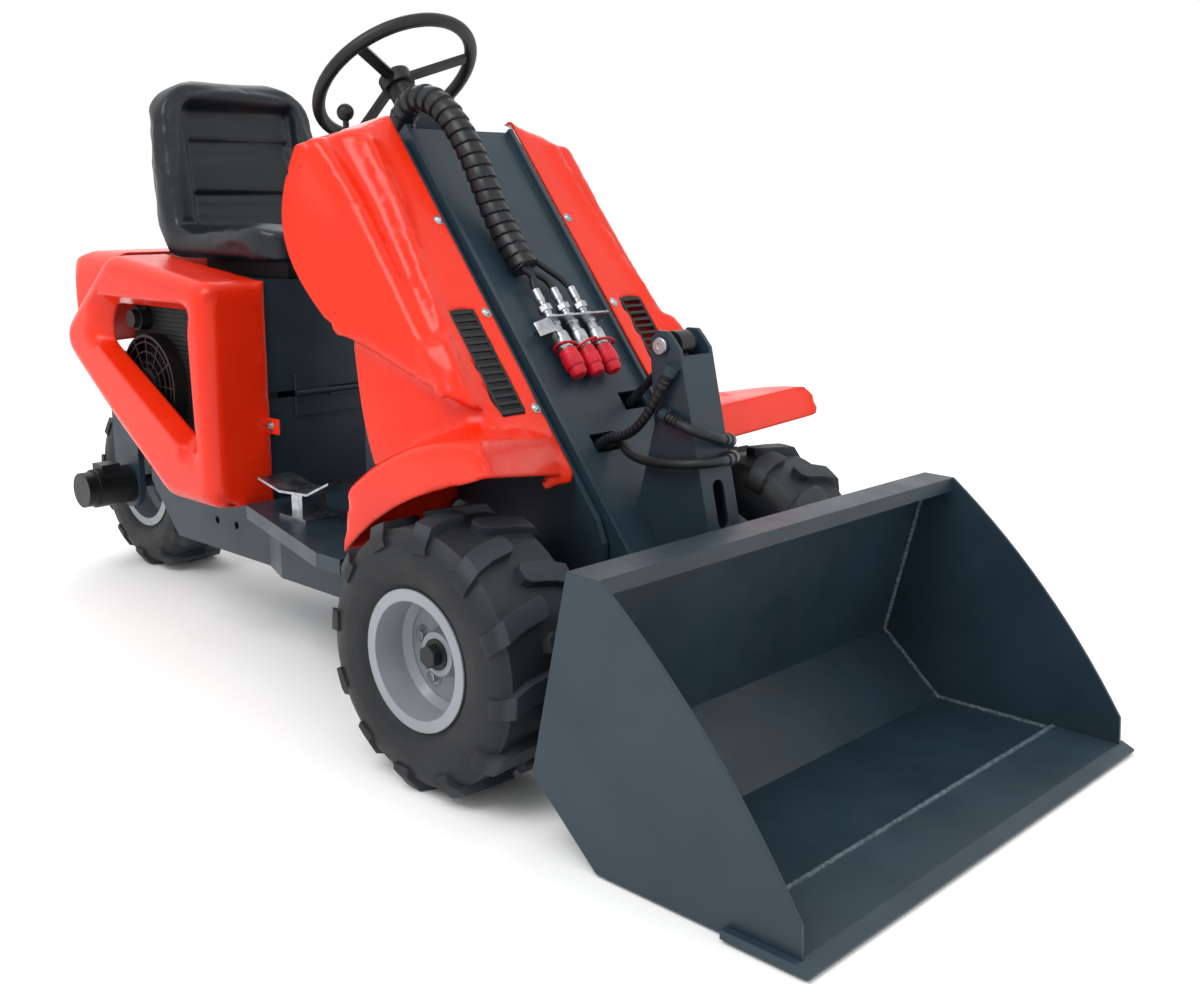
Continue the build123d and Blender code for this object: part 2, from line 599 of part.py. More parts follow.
def cylinder_points(base, eye, first, last):
    """Two points along a cylinder's line, at distances from its base pin."""
    length = math.hypot(eye[0] - base[0], eye[1] - base[1])
    ux = (eye[0] - base[0]) / length
    uz = (eye[1] - base[1]) / length
    return ((base[0] + first * ux, 0, base[1] + first * uz), (base[0] + last * ux, 0, base[1] + last * uz))


def barrel(base, eye, radius, length, eye_r, eye_w, pin_r, gland_step):
    """Cylinder barrel with the eye of its closed end."""
    tube_start = eye_r * 1.45
    neck = bar_between(*cylinder_points(base, eye, pin_r, tube_start), eye_w / 2 - 1)
    tube = bar_between(*cylinder_points(base, eye, tube_start, length - 26), radius)
    gland = bar_between(*cylinder_points(base, eye, length - 26, length), radius + gland_step)
    ring = cross_bar(*base, -eye_w / 2, eye_w / 2, eye_r)
    return tube.fuse(neck, gland, ring) - cross_bar(*base, -eye_w, eye_w, pin_r + PIN_CLEAR)


def hollow_barrel(solid, base, eye, rod_r, rod_start, length):
    """The barrel with the bore that its rod slides in."""
    bore = bar_between(*cylinder_points(base, eye, rod_start, length + 5), rod_r + SHAFT_CLEAR)
    return solid - bore


def rod(base, eye, radius, start, eye_r, eye_w, pin_r):
    """Cylinder rod with its eye and the short pin in it."""
    length = math.hypot(eye[0] - base[0], eye[1] - base[1])
    shaft = bar_between(*cylinder_points(base, eye, start, length - eye_r * 0.6), radius)
    ring = cross_bar(*eye, -eye_w / 2, eye_w / 2, eye_r)
    return shaft + ring


# Bucket group

def bucket_outline():
    """Side outline of the bucket without its convex cheek."""
    return [BUCKET_BACK_TOP, BUCKET_BACK_FOOT, BUCKET_FLOOR_BACK, (BUCKET_TIP[0] + 5, BUCKET_FLOOR_BACK[1]), BUCKET_TIP, BUCKET_LIP_FRONT]


def bucket():
    """Folded bucket: two cheeks, a bent back and floor, and a turned-down lip at the top."""
    half = BUCKET_W / 2
    outline = bucket_outline()
    mid = ((BUCKET_LIP_FRONT[0] + BUCKET_TIP[0]) / 2 + BUCKET_CHEEK_BULGE, (BUCKET_LIP_FRONT[1] + BUCKET_TIP[1]) / 2 + BUCKET_CHEEK_BULGE)
    wire = Polyline(BUCKET_LIP_FRONT, BUCKET_BACK_TOP, BUCKET_BACK_FOOT, BUCKET_FLOOR_BACK, outline[3], BUCKET_TIP)
    cheek_edge = ThreePointArc(BUCKET_TIP, mid, BUCKET_LIP_FRONT)
    face = make_face([*wire.edges(), cheek_edge])
    cheek = extrude(Plane.XZ.offset(-half) * face, BUCKET_PLATE)
    t = BUCKET_PLATE
    back_dir = (BUCKET_BACK_TOP[0] - BUCKET_BACK_FOOT[0], BUCKET_BACK_TOP[1] - BUCKET_BACK_FOOT[1])
    inner_top = (BUCKET_BACK_TOP[0] + t, BUCKET_BACK_TOP[1] - t)
    inner_foot = (BUCKET_BACK_FOOT[0] + t * 1.2, BUCKET_BACK_FOOT[1] + 0.35 * t)
    inner_floor = (BUCKET_FLOOR_BACK[0] + 0.4 * t, BUCKET_FLOOR_BACK[1] + t)
    sheet = [BUCKET_LIP_FRONT, BUCKET_BACK_TOP, BUCKET_BACK_FOOT, BUCKET_FLOOR_BACK, (BLADE_BACK_X, BUCKET_FLOOR_BACK[1]),
             (BLADE_BACK_X, BUCKET_FLOOR_BACK[1] + t), inner_floor, inner_foot, inner_top,
             (BUCKET_LIP_FRONT[0] - t, BUCKET_LIP_FRONT[1] - t), (BUCKET_LIP_FRONT[0] - t, BUCKET_LIP_FRONT[1] - BUCKET_LIP_DROP),
             (BUCKET_LIP_FRONT[0], BUCKET_LIP_FRONT[1] - BUCKET_LIP_DROP)]
    shell = side_plate(sheet, -half + t, half - t)
    blade_gap = cutting_edge_cut()
    return (cheek.fuse(mirrored(cheek), shell)) - blade_gap


def cutting_edge_cut():
    """Room that the cutting edge takes under the cheeks."""
    top = BUCKET_FLOOR_BACK[1] + BLADE_T
    return Pos((BLADE_BACK_X + BLADE_TIP_X) / 2 + 50, 0, top / 2 - 20) * Box(BLADE_TIP_X - BLADE_BACK_X + 100, BUCKET_W + 100, top + 40)


def cutting_edge():
    """Bevelled wear blade across the bucket's mouth."""
    low = BUCKET_FLOOR_BACK[1]
    half = BUCKET_W / 2 + BLADE_OVERHANG
    return side_plate([(BLADE_BACK_X, low), (BLADE_TIP_X, low), (BLADE_TIP_X, low + 0.3 * BLADE_T),
                       (BLADE_TIP_X - 1.6 * BLADE_T, low + BLADE_T), (BLADE_BACK_X, low + BLADE_T)], -half, half)


def back_line(z, behind=0.0):
    """Side-view point on the bucket's back at a height, moved back from it."""
    dx = BUCKET_BACK_TOP[0] - BUCKET_BACK_FOOT[0]
    dz = BUCKET_BACK_TOP[1] - BUCKET_BACK_FOOT[1]
    length = math.hypot(dx, dz)
    x = BUCKET_BACK_FOOT[0] + dx * (z - BUCKET_BACK_FOOT[1]) / dz
    return (x - behind * length / dz, z)


def coupler():
    """Quick-attach plate on the bucket's back with lugs to the boom's foot and to the tilt rod."""
    low = BUCKET_BACK_FOOT[1] + 12
    high = BUCKET_BACK_TOP[1] - COUPLER_TOP_DROP
    plate = side_plate([back_line(low), back_line(high), back_line(high, COUPLER_PLATE_T), back_line(low, COUPLER_PLATE_T)],
                       -COUPLER_HALF, COUPLER_HALF)
    out = BOOM_HALF - BOOM_PLATE - COUPLER_GAP
    r = COUPLER_LUG_R
    lug_line = [back_line(low, COUPLER_PLATE_T), back_line(high - 60, COUPLER_PLATE_T), (FOOT_X + 0.5 * r, FOOT_Z + 0.87 * r),
                (FOOT_X - 0.5 * r, FOOT_Z + 0.87 * r), (FOOT_X - r, FOOT_Z), (FOOT_X - 0.5 * r, FOOT_Z - 0.87 * r), (FOOT_X + 0.5 * r, FOOT_Z - 0.87 * r)]
    lug = side_plate(lug_line, out - COUPLER_LUG_T, out)
    lug -= cross_bar(FOOT_X, FOOT_Z, 0, BOOM_HALF, FOOT_PIN_R + PIN_CLEAR)
    e = TILT_EYE_R
    t_in = TILT_EYE_W / 2 + EYE_SIDE_GAP
    tilt_lug = side_plate([back_line(TILT_EYE_Z - 70, COUPLER_PLATE_T), back_line(TILT_EYE_Z + 60, COUPLER_PLATE_T),
                           (TILT_EYE_X + 0.4 * e, TILT_EYE_Z + 0.9 * e), (TILT_EYE_X - 0.6 * e, TILT_EYE_Z + 0.75 * e),
                           (TILT_EYE_X - 0.95 * e, TILT_EYE_Z), (TILT_EYE_X - 0.5 * e, TILT_EYE_Z - 0.8 * e)], t_in, t_in + TILT_LUG_T)
    return plate.fuse(lug, mirrored(lug), tilt_lug, mirrored(tilt_lug))


# Rear body

def rear_side(wall):
    """Left rear corner as a block with rounded outer edges; with a wall it is the room inside."""
    points = [(REAR_FACE_X, REAR_SHELL_BOTTOM), (REAR_KNEE_X, REAR_SHELL_BOTTOM), REAR_BEND, REAR_TIP,
              (REAR_PEAK_X, REAR_SHELL_PEAK), (REAR_FACE_X, REAR_SHELL_TOP)]
    outline = make_face(Polyline(*points, close=True))
    outline = fillet(outline.vertices().filter_by(lambda v: v.X < REAR_FACE_X - 1), REAR_TIP_R)
    if wall:
        outline = offset(outline, -wall)
    outer = REAR_HALF - wall
    block = extrude(Plane.XZ.offset(-outer) * outline, outer - REAR_INNER + wall)
    return fillet(block.faces().sort_by(Axis.Y)[-1].edges(), REAR_EDGE_R - wall)


def window_funnel(grow):
    """Tapered plug of the left window, from the outer skin inwards."""
    faces = []
    for points, y in ((WINDOW_MOUTH, REAR_HALF + 1), (WINDOW_THROAT, REAR_HALF - WINDOW_DEPTH)):
        outline = make_face(Polyline(*points, close=True))
        outline = fillet(outline.vertices(), WINDOW_R)
        if grow:
            outline = offset(outline, grow)
        faces.append(Plane.XZ.offset(-y) * outline)
    return loft(faces, ruled=True)


def rear_shell():
    """Left rear shell: rounded hollow moulding with a deep window, open to the inside and below."""
    block = rear_side(0)
    shell = block - rear_side(SHELL_WALL)
    shell += window_funnel(SHELL_WALL) & block
    shell -= window_funnel(0)
    below = side_plate([(REAR_FACE_X - 2 * SHELL_WALL, 0), (2 * REAR_FACE_X, 0), (2 * REAR_FACE_X, REAR_SHELL_TOP - 100),
                        (REAR_FACE_X - 2 * SHELL_WALL, REAR_SHELL_TOP - 100)], 0, REAR_RETURN)
    tail_x = SEAT_BOX_BACK - SEAM_GAP
    behind = side_plate([(tail_x, 0), (2 * tail_x, 0), (2 * tail_x, 2 * REAR_SHELL_TOP), (tail_x, 2 * REAR_SHELL_TOP)],
                        0, HOOD_HALF + SEAM_GAP)
    return shell - below - behind


def hood_block(wall):
    """Tail between the shells: rounded plan cut to a side profile; with a wall it is the room inside."""
    front = SEAT_BOX_BACK - SEAM_GAP + 2 * wall
    half = HOOD_HALF - wall
    tail = REAR_TAIL_X + wall
    corner = HOOD_PEAK_X + wall
    line = Polyline((corner, half), (front, half), (front, -half), (corner, -half))
    curve = ThreePointArc((corner, -half), (tail, 0), (corner, half))
    plan = extrude(Plane.XY * make_face([*line.edges(), curve]), 2 * REAR_SHELL_TOP)
    low = REAR_UNDER_Z - 8 * wall
    top = REAR_SHELL_PEAK - wall
    side = side_plate([(front, low), (tail - 1, low), (tail - 1, top - HOOD_DROP), (HOOD_PEAK_X, top), (front, top)],
                      -REAR_HALF, REAR_HALF)
    face = make_face(Polyline((-half, low), (half, low), (half, top), (-half, top), close=True))
    face = fillet(face.vertices().sort_by(Axis.Y)[-2:], HOOD_EDGE_R - wall)
    return plan & side & extrude(Plane.YZ.offset(2 * tail) * face, -2 * tail)


def rear_hood():
    """Centre of the tail behind the seat box, open below and to the front."""
    return hood_block(0) - hood_block(SHELL_WALL)


def seat_box():
    """Fixed lower front of the seat box, with side returns standing on the frame."""
    high = SEAT_HINGE_Z - SEAT_HINGE_R - 1
    wall = SEAT_BOX_WALL
    depth = 120
    box = Pos(SEAT_BOX_X - depth / 2, 0, (FRAME_TOP + high) / 2) * Box(depth, 2 * SEAT_BOX_HALF, high - FRAME_TOP)
    room = Pos(SEAT_BOX_X - wall - depth / 2, 0, (FRAME_TOP + high) / 2) * Box(depth, 2 * SEAT_BOX_HALF - 2 * wall, high - FRAME_TOP + 2)
    leaf = Pos(SEAT_BOX_X + 1.5, 0, high - 22) * Box(3, 300, 44)
    knuckle = cross_bar(SEAT_BOX_X + SEAT_HINGE_R, SEAT_HINGE_Z, -60, 60, SEAT_HINGE_R)
    web = Pos(SEAT_BOX_X + 4, 0, high - 1) * Box(8, 120, 8)
    flange_w = FRAME_REAR_HALF - SEAT_BOX_HALF + wall
    flange = Pos(SEAT_BOX_X - depth / 2, FRAME_REAR_HALF - flange_w / 2, FRAME_TOP + wall / 2) * Box(depth, flange_w, wall)
    return (box - room).fuse(leaf, knuckle, web, flange, mirrored(flange))


def seat_cover():
    """Upper seat box that tips forward: front wall, deck and side walls."""
    low = SEAT_HINGE_Z + SEAT_HINGE_R + 1
    wall = SEAT_BOX_WALL
    length = SEAT_BOX_X - SEAT_BOX_BACK
    mid_x = (SEAT_BOX_X + SEAT_BOX_BACK) / 2
    side_low = SEAT_BOX_TOP - 110
    box = Pos(mid_x, 0, (low + SEAT_BOX_TOP) / 2) * Box(length, 2 * SEAT_BOX_HALF - 2, SEAT_BOX_TOP - low)
    room = Pos(mid_x - wall, 0, (low + SEAT_BOX_TOP) / 2 - wall) * Box(length, 2 * SEAT_BOX_HALF - 2 - 2 * wall, SEAT_BOX_TOP - low)
    cut = Pos(mid_x - 130, 0, (low + side_low) / 2) * Box(length, 2 * SEAT_BOX_HALF + 10, side_low - low)
    shell = box - room - cut
    knuckle = cross_bar(SEAT_BOX_X + SEAT_HINGE_R, SEAT_HINGE_Z, 60 + SEAT_GAP, 150, SEAT_HINGE_R)
    leaf = Pos(SEAT_BOX_X + 1.5, 106, (low + SEAT_HINGE_Z) / 2 + 16) * Box(3, 88, low - SEAT_HINGE_Z + 40)
    return shell.fuse(knuckle, mirrored(knuckle), leaf, mirrored(leaf))


def engine():
    """Engine as one plain block on the frame's floor."""
    low = FRAME_BOTTOM + FRAME_WALL
    return Pos(ENGINE_FRONT_X - ENGINE_LENGTH / 2, 0, low + ENGINE_HEIGHT / 2) * Box(ENGINE_LENGTH, 2 * ENGINE_HALF, ENGINE_HEIGHT)


def cooler():
    """Oil cooler core on an outrigger bracket at the right, behind the shell's window."""
    back = COOLER_FACE - COOLER_T
    outline = [(-845, FRAME_TOP + SEAT_BOX_WALL), (-960, FRAME_TOP + SEAT_BOX_WALL), (-1255, 600), (-1240, 736), (-845, 736)]
    core = side_plate(outline, -COOLER_FACE, -back)
    inner = SEAT_BOX_HALF + 1
    bracket = Pos(-902, -(COOLER_FACE + inner) / 2, FRAME_TOP + SEAT_BOX_WALL + BEAM_PLATE / 2) * Box(115, COOLER_FACE - inner, BEAM_PLATE)
    return core + bracket


def cooler_fan():
    """Cooling fan: shroud ring, guard rings on spokes and the hub, on the core's outer face."""
    face = -COOLER_FACE
    out = face - COOLER_FAN_DEPTH
    x, z = COOLER_FAN_X, COOLER_FAN_Z
    shroud = cross_bar(x, z, out, face, COOLER_FAN_R) - cross_bar(x, z, out - 1, face + 1, COOLER_FAN_R - 6)
    pieces = []
    for share in (0.45, 0.66, 0.85):
        r = COOLER_FAN_R * share
        pieces.append(cross_bar(x, z, out, out + 5, r + 1.6) - cross_bar(x, z, out - 1, out + 6, r - 1.6))
    for k in range(COOLER_SPOKES):
        arm = Pos(COOLER_FAN_R * 0.62, 0, 0) * Box(COOLER_FAN_R * 0.74, 5, 3.2)
        pieces.append(Pos(x, out + 2.5, z) * Rot(0, k * 360.0 / COOLER_SPOKES, 0) * arm)
    hub = cross_bar(x, z, out - 4, face, COOLER_FAN_R * 0.34)
    return shroud.fuse(hub, *pieces)


def air_stub():
    """Black intake stub above the fan."""
    return cross_bar(-1190, 704, -COOLER_FACE - 40, -COOLER_FACE, 20) + cross_bar(-1190, 704, -COOLER_FACE - 26, -COOLER_FACE, 27)


# Seat

def seat():
    """Bucket seat as one padded form: cushion and back with side bolsters and rounded outlines."""
    front, lip, back = SEAT_FRONT_X, SEAT_LIP_Z, SEAT_BACK_X
    base, top = SEAT_BASE_Z, SEAT_TOP_Z
    side = [(front - 5, base), (front, lip - 14), (front - 22, lip), (front - 80, lip + 8), (back + 95, lip - 18),
            (back + 48, lip + 4), (back, top - 18), (back - 34, top), (back - 76, top - 30), (back - 40, lip),
            (back + 5, base)]
    body = side_plate(side, -SEAT_HALF, SEAT_HALF)
    face_line = Polyline((-SEAT_HALF, base), (-SEAT_HALF, lip + 120), (-SEAT_TOP_HALF, top), (SEAT_TOP_HALF, top),
                         (SEAT_HALF, lip + 120), (SEAT_HALF, base), close=True)
    face = make_face(face_line)
    face = fillet(face.vertices().sort_by(Axis.Y)[-2:], SEAT_CORNER_R)
    body &= extrude(Plane.YZ.offset(2 * back) * face, -3 * back)
    plan = make_face(Polyline((2 * back, -SEAT_HALF), (front, -SEAT_HALF), (front, SEAT_HALF), (2 * back, SEAT_HALF), close=True))
    plan = fillet(plan.vertices().sort_by(Axis.X)[-2:], SEAT_CORNER_R)
    body &= extrude(plan, 2 * top)
    deep = SEAT_BOLSTER
    dish = [(front - 64, top), (front - 70, lip - deep), (back + 98, lip - 24 - deep), (back + 44 - deep, lip),
            (back - deep, top - 80), (back + 60, top)]
    inside = SEAT_HALF - SEAT_BOLSTER_W
    return body - side_plate(dish, -inside, inside)


def seat_rails():
    """Slide rails between the seat and the deck."""
    rail = Pos(-1000, SEAT_RAIL_HALF, (SEAT_BOX_TOP + SEAT_BASE_Z) / 2) * Box(320, 34, SEAT_BASE_Z - SEAT_BOX_TOP)
    pan = Pos(-1000, 0, SEAT_BASE_Z - 6) * Box(300, 2 * SEAT_RAIL_HALF, 12)
    return rail.fuse(mirrored(rail), pan)


# Front shells

def panel_x(z):
    """Side-view x of the sloping front panel at a height."""
    return BOOM_PIVOT_X + (PANEL_OUT - (z - BOOM_PIVOT_Z) * BOOM_COS) / BOOM_SIN


def cowl_loft(rows, wall):
    """Left cowl body lofted through its plan sections; with a wall it is the room inside the skin."""
    faces = []
    for z, panel_half, ridge_back, ridge_half, rear_x, rear_half in rows:
        front = panel_x(z) - wall / BOOM_SIN
        rear = rear_x - 1.2 * wall
        inner = COWL_INNER - 0.6 * wall
        points = [(front, inner), (front, panel_half - 0.4 * wall), (front - ridge_back, ridge_half - wall),
                  (rear, rear_half - wall), (rear, inner)]
        faces.append(Plane.XY.offset(z) * make_face(Polyline(*points, close=True)))
    return loft(faces)


def bulge(wall):
    """Swelling upper cowl with a sloping top and an undercut lower edge."""
    body = cowl_loft(BULGE_ROWS, wall)
    top = COWL_TOP_INNER - wall
    far = 600.0
    drop = COWL_TOP_SLOPE * (far - COWL_INNER)
    above = make_face(Polyline((0, top + COWL_TOP_SLOPE * COWL_INNER), (far, top - drop), (far, 2 * top), (0, 2 * top), close=True))
    body -= extrude(Plane.YZ.offset(-far) * above, 2 * far)
    rise = (BULGE_WAIST[1] - BULGE_TIP[1]) / (BULGE_WAIST[0] - BULGE_TIP[0])
    lift = BULGE_TIP[1] - rise * BULGE_TIP[0] + wall
    below = [(-far, lift - rise * far), (far, lift + rise * far), (far, 0), (-far, 0)]
    return body - side_plate(below, 0, far)


def fender(wall):
    """Solid of the mudguard; with a wall it is the room inside, open below."""
    faces = []
    ends = ((FENDER_WALL_SHAPE, FENDER_OUTER - wall), (FENDER_ROOT_SHAPE, COWL_INNER - 2 * wall))
    for (rear_low, rear_high, crest, front_high, front_low, arch, arch_mid), y in ends:
        if wall:
            depth = 16 * wall
            rear_low = (rear_low[0] + wall, rear_low[1] - depth)
            rear_high = (rear_high[0] + wall, rear_high[1] - 0.7 * wall)
            crest = (crest[0] + 0.3 * wall, crest[1] - wall)
            front_high = (front_high[0] - wall, front_high[1] - wall)
            front_low = (front_low[0] - wall, front_low[1] - depth)
        back = Line(rear_low, rear_high)
        top = ThreePointArc(rear_high, crest, front_high)
        front = Line(front_high, front_low)
        edges = [back, top, front]
        if wall:
            edges.append(Line(front_low, rear_low))
        else:
            edges.append(Line(front_low, arch))
            edges.append(ThreePointArc(arch, arch_mid, rear_low))
        faces.append(Plane.XZ.offset(-y) * make_face(edges))
    body = loft(faces)
    crown = body.edges().group_by(Axis.Y)[-1].filter_by(GeomType.CIRCLE).sort_by(Axis.Z)[-1]
    return fillet(crown, FENDER_EDGE_R - wall)


def front_shell():
    """Left front shell: bulged cowl, neck and mudguard in one hollow moulding with a vent hole."""
    skin = bulge(0) + cowl_loft(NECK_ROWS, 0) + fender(0)
    room = bulge(SHELL_WALL) + cowl_loft(NECK_ROWS, SHELL_WALL) + fender(SHELL_WALL)
    return skin - room - vent_block(PANEL_OUT - 30, PANEL_OUT + 30, 0)


def vent_block(low, high, gap):
    """Block along the front panel where the left vent is, smaller by a gap."""
    line = [(VENT_START + gap, low), (VENT_END - gap, low), (VENT_END - gap, high), (VENT_START + gap, high)]
    return side_plate([on_boom(*p) for p in line], VENT_IN + gap, VENT_OUT - gap)


def vent_grille():
    """Slotted plate set in the left vent."""
    plate = vent_block(PANEL_OUT - SHELL_WALL, PANEL_OUT - SHELL_WALL + VENT_T, SEAM_GAP)
    pitch = (VENT_END - VENT_START - 2 * VENT_RIM) / VENT_SLOTS
    for k in range(VENT_SLOTS):
        start = VENT_START + VENT_RIM + (k + 0.2) * pitch
        end = start + 0.6 * pitch
        line = [(start, 0), (end, 0), (end, 2 * PANEL_OUT), (start, 2 * PANEL_OUT)]
        plate -= side_plate([on_boom(*p) for p in line], VENT_IN + VENT_RIM, VENT_OUT - VENT_RIM)
    return plate


# Controls

def dash():
    """Console top behind the boom, with the steering column's foot."""
    x_front = TOWER_REAR_X
    plate = side_plate([(x_front, TOWER_BACK_TOP - 20), (x_front, DASH_Z), (x_front - 80, DASH_Z), (x_front - 108, DASH_Z - 50), (x_front - 30, TOWER_BACK_TOP - 20)],
                       -BOOM_HALF - TOWER_GAP, BOOM_HALF + TOWER_GAP)
    ux, uz = wheel_axis()
    mid_x = WHEEL_X - COLUMN_LENGTH * ux
    mid_z = WHEEL_Z - COLUMN_LENGTH * uz
    boss = side_plate([(mid_x + 34 * uz, mid_z - 34 * ux), (mid_x - 60 * uz, mid_z + 60 * ux), (x_front - 70, DASH_Z - 40), (x_front, DASH_Z - 40)], -60, 60)
    return plate + boss


def wheel_axis():
    """Unit direction of the steering column, up and back to the driver."""
    return (-math.sin(math.radians(WHEEL_TILT)), math.cos(math.radians(WHEEL_TILT)))


def column():
    """Steering column from the console to the wheel's hub."""
    ux, uz = wheel_axis()
    start = (WHEEL_X - COLUMN_LENGTH * ux, 0, WHEEL_Z - COLUMN_LENGTH * uz)
    top = 20 + SEAT_GAP
    end = (WHEEL_X - top * ux, 0, WHEEL_Z - top * uz)
    return bar_between(start, end, COLUMN_R)


def steering_wheel():
    """Three-spoke steering wheel."""
    ring = Torus(WHEEL_RING_R, WHEEL_GRIP_R)
    hub = Pos(0, 0, -6) * Cylinder(WHEEL_HUB_R, 28)
    arms = [Rot(0, 0, 180 + k * 120) * Pos(WHEEL_RING_R / 2 + 5, 0, -2) * Box(WHEEL_RING_R - 10, 22, 9) for k in range(3)]
    wheel = hub.fuse(ring, *arms)
    return Pos(WHEEL_X, 0, WHEEL_Z) * Rot(0, -WHEEL_TILT, 0) * wheel


def lever(x, y, top, lean):
    """Control lever with a ball knob."""
    foot = (x, y, DASH_Z + SEAT_GAP)
    tip = (x - lean, y, top)
    stick = bar_between(foot, tip, 6)
    return stick + Pos(*tip) * Sphere(17)


def levers():
    """Boom lever and throttle lever beside the wheel."""
    return lever(-622, -130, 1132, 6).fuse(lever(-622, 130, 1120, 6))


def pedal():
    """Treadle pedal with raised toe and heel on its bracket."""
    base = FRAME_TOP + BOARD_T
    top = [(-730, 407), (-655, 391), (-560, 397), (-486, 431)]
    under = [(x, z - PEDAL_T) for x, z in reversed(top)]
    tread = side_plate(top + under, PEDAL_Y - PEDAL_HALF, PEDAL_Y + PEDAL_HALF)
    high = top[1][1] - 0.5 * PEDAL_T
    post = Pos(-612, PEDAL_Y, (base + high) / 2) * Box(36, 1.4 * PEDAL_HALF, high - base)
    foot = Pos(-612, PEDAL_Y, base + 3) * Box(90, 2 * PEDAL_HALF, 6)
    return tread.fuse(post, foot)


# Hydraulics on the boom

def boom_axis_bar(along_start, along_end, out, y, radius):
    """Round bar lying along the boom in front of its face."""
    a = on_boom(along_start, out)
    b = on_boom(along_end, out)
    return bar_between((a[0], y, a[1]), (b[0], y, b[1]), radius)


def couplings():
    """Three quick couplings in a folded bracket on the boom's face."""
    face_out = BOOM_FRONT - BOOM_RECESS
    out = face_out + COUPLING_STAND
    pieces = []
    mid = COUPLING_START + COUPLING_LENGTH * 0.5
    end = COUPLING_START + COUPLING_LENGTH
    for k in (-1, 0, 1):
        y = k * COUPLING_PITCH
        pieces.append(boom_axis_bar(COUPLING_START, end, out, y, COUPLING_R))
        pieces.append(boom_axis_bar(mid + 20, end - 22, out, y, COUPLING_COLLAR_R))
    line = [(mid - 3, face_out), (mid + 3, face_out), (mid + 3, out + 26), (mid - 3, out + 26)]
    bracket = side_plate([on_boom(*p) for p in line], -COUPLING_PITCH * 1.6, COUPLING_PITCH * 1.6)
    return bracket.fuse(*pieces)


def dust_caps():
    """Rubber caps on the three couplings."""
    out = BOOM_FRONT - BOOM_RECESS + COUPLING_STAND
    end = COUPLING_START + COUPLING_LENGTH
    caps = [boom_axis_bar(end, end + CAP_LENGTH, out, k * COUPLING_PITCH, CAP_R - 1) for k in (-1, 0, 1)]
    return caps


def hose(points, radius):
    """Hose along a route of straight runs and tangent arcs."""
    vecs = [Vector(*p) for p in points]
    radii = []
    for a, b, c in zip(vecs, vecs[1:], vecs[2:]):
        turn = (b - a).get_angle(c - b)
        shorter = min((b - a).length, (c - b).length)
        radii.append(0.45 * shorter / math.tan(math.radians(turn) / 2))
    path = FilletPolyline(*vecs, radius=radii)
    return sweep(Plane(path @ 0, z_dir=path % 0) * Circle(radius), path=path)


def bundle_route():
    """Points of the sleeved hose bundle over the boom's top and down its face."""
    face_out = BOOM_FRONT - BOOM_RECESS
    lie = face_out + BUNDLE_R + 0.3
    points = []
    for along, out, y in ((-76, -8, -100), (-114, 42, -100), (-100, 102, -98), (-44, 134, -92), (36, 132, -82),
                          (100, 116, -72), (160, lie + 12, -62), (222, lie, -52), (288, lie, -46)):
        x, z = on_boom(along, out)
        points.append((x, y, z))
    return points


def boom_point(along, out, y):
    """Place on the boom as an x, y, z point."""
    x, z = on_boom(along, out)
    return (x, y, z)


def tilt_routes():
    """Points of the four hoses between the boom's holes and the ports on the mast."""
    low, low_y = BOOM_LOWER_HOLE
    high, high_y = BOOM_UPPER_HOLE
    side = -MAST_HALF - TILT_PORT_R
    behind = BOOM_FRONT - BOOM_RECESS - 1.5 * BOOM_FACE_T
    upper_right = [boom_point(low, behind, low_y - 13), boom_point(low + 2, behind + 40, low_y - 13), (62, side - 4, 560),
                   (104, side - 6, 592), (130, side - 5, 635), (150, side + 1, 676)]
    lower_right = [boom_point(low, behind, low_y + 13), boom_point(low + 8, behind + 38, low_y + 10), (60, side + 6, 528),
                   (112, side - 4, 522), (166, side - 10, 526), (208, side - 8, 531), (236, side + 16, 534), (238, -6, 533),
                   (222, 32, 530)]
    upper_left = [boom_point(high, behind, high_y), boom_point(high - 2, behind + 40, high_y - 2), (16, 72, 654),
                  (62, 62, 684), (104, 1 - side - 2, 704)]
    front = [(156, side + 1, 603), (180, side - 5, 598), (206, side - 6, 590), (230, side + 16, 579), (231, -6, 569),
             (214, 32, 561)]
    return [upper_right, lower_right, upper_left, front]


def tilt_hoses():
    """The four tilt hoses."""
    return [hose(points, TILT_HOSE_R).solid() for points in tilt_routes()]


def tilt_ports():
    """Ports on the mast where the tilt hoses end, and the one where the front hose starts."""
    ports = []
    runs = [(points[-2], points[-1]) for points in tilt_routes()]
    first = tilt_routes()[-1]
    runs.append((first[1], first[0]))
    for a, b in runs:
        way = (Vector(*b) - Vector(*a)).normalized()
        start = Vector(*b) + way * SEAT_GAP
        ports.append(bar_between(tuple(start), tuple(start + way * TILT_PORT_LENGTH), TILT_PORT_R))
    return ports


def moved(shape):
    """The piece in the machine's final frame."""
    return Pos(-CENTRE_X, 0, 0) * shape


def save(name, shape):
    """Writes one node."""
    if isinstance(shape, (list, tuple)):
        solid = Compound(children=[moved(s) for item in shape for s in item.solids()])
    else:
        solid = moved(shape)
    solid.label = name
    export_step(solid, os.path.join("parts", name + ".step"))


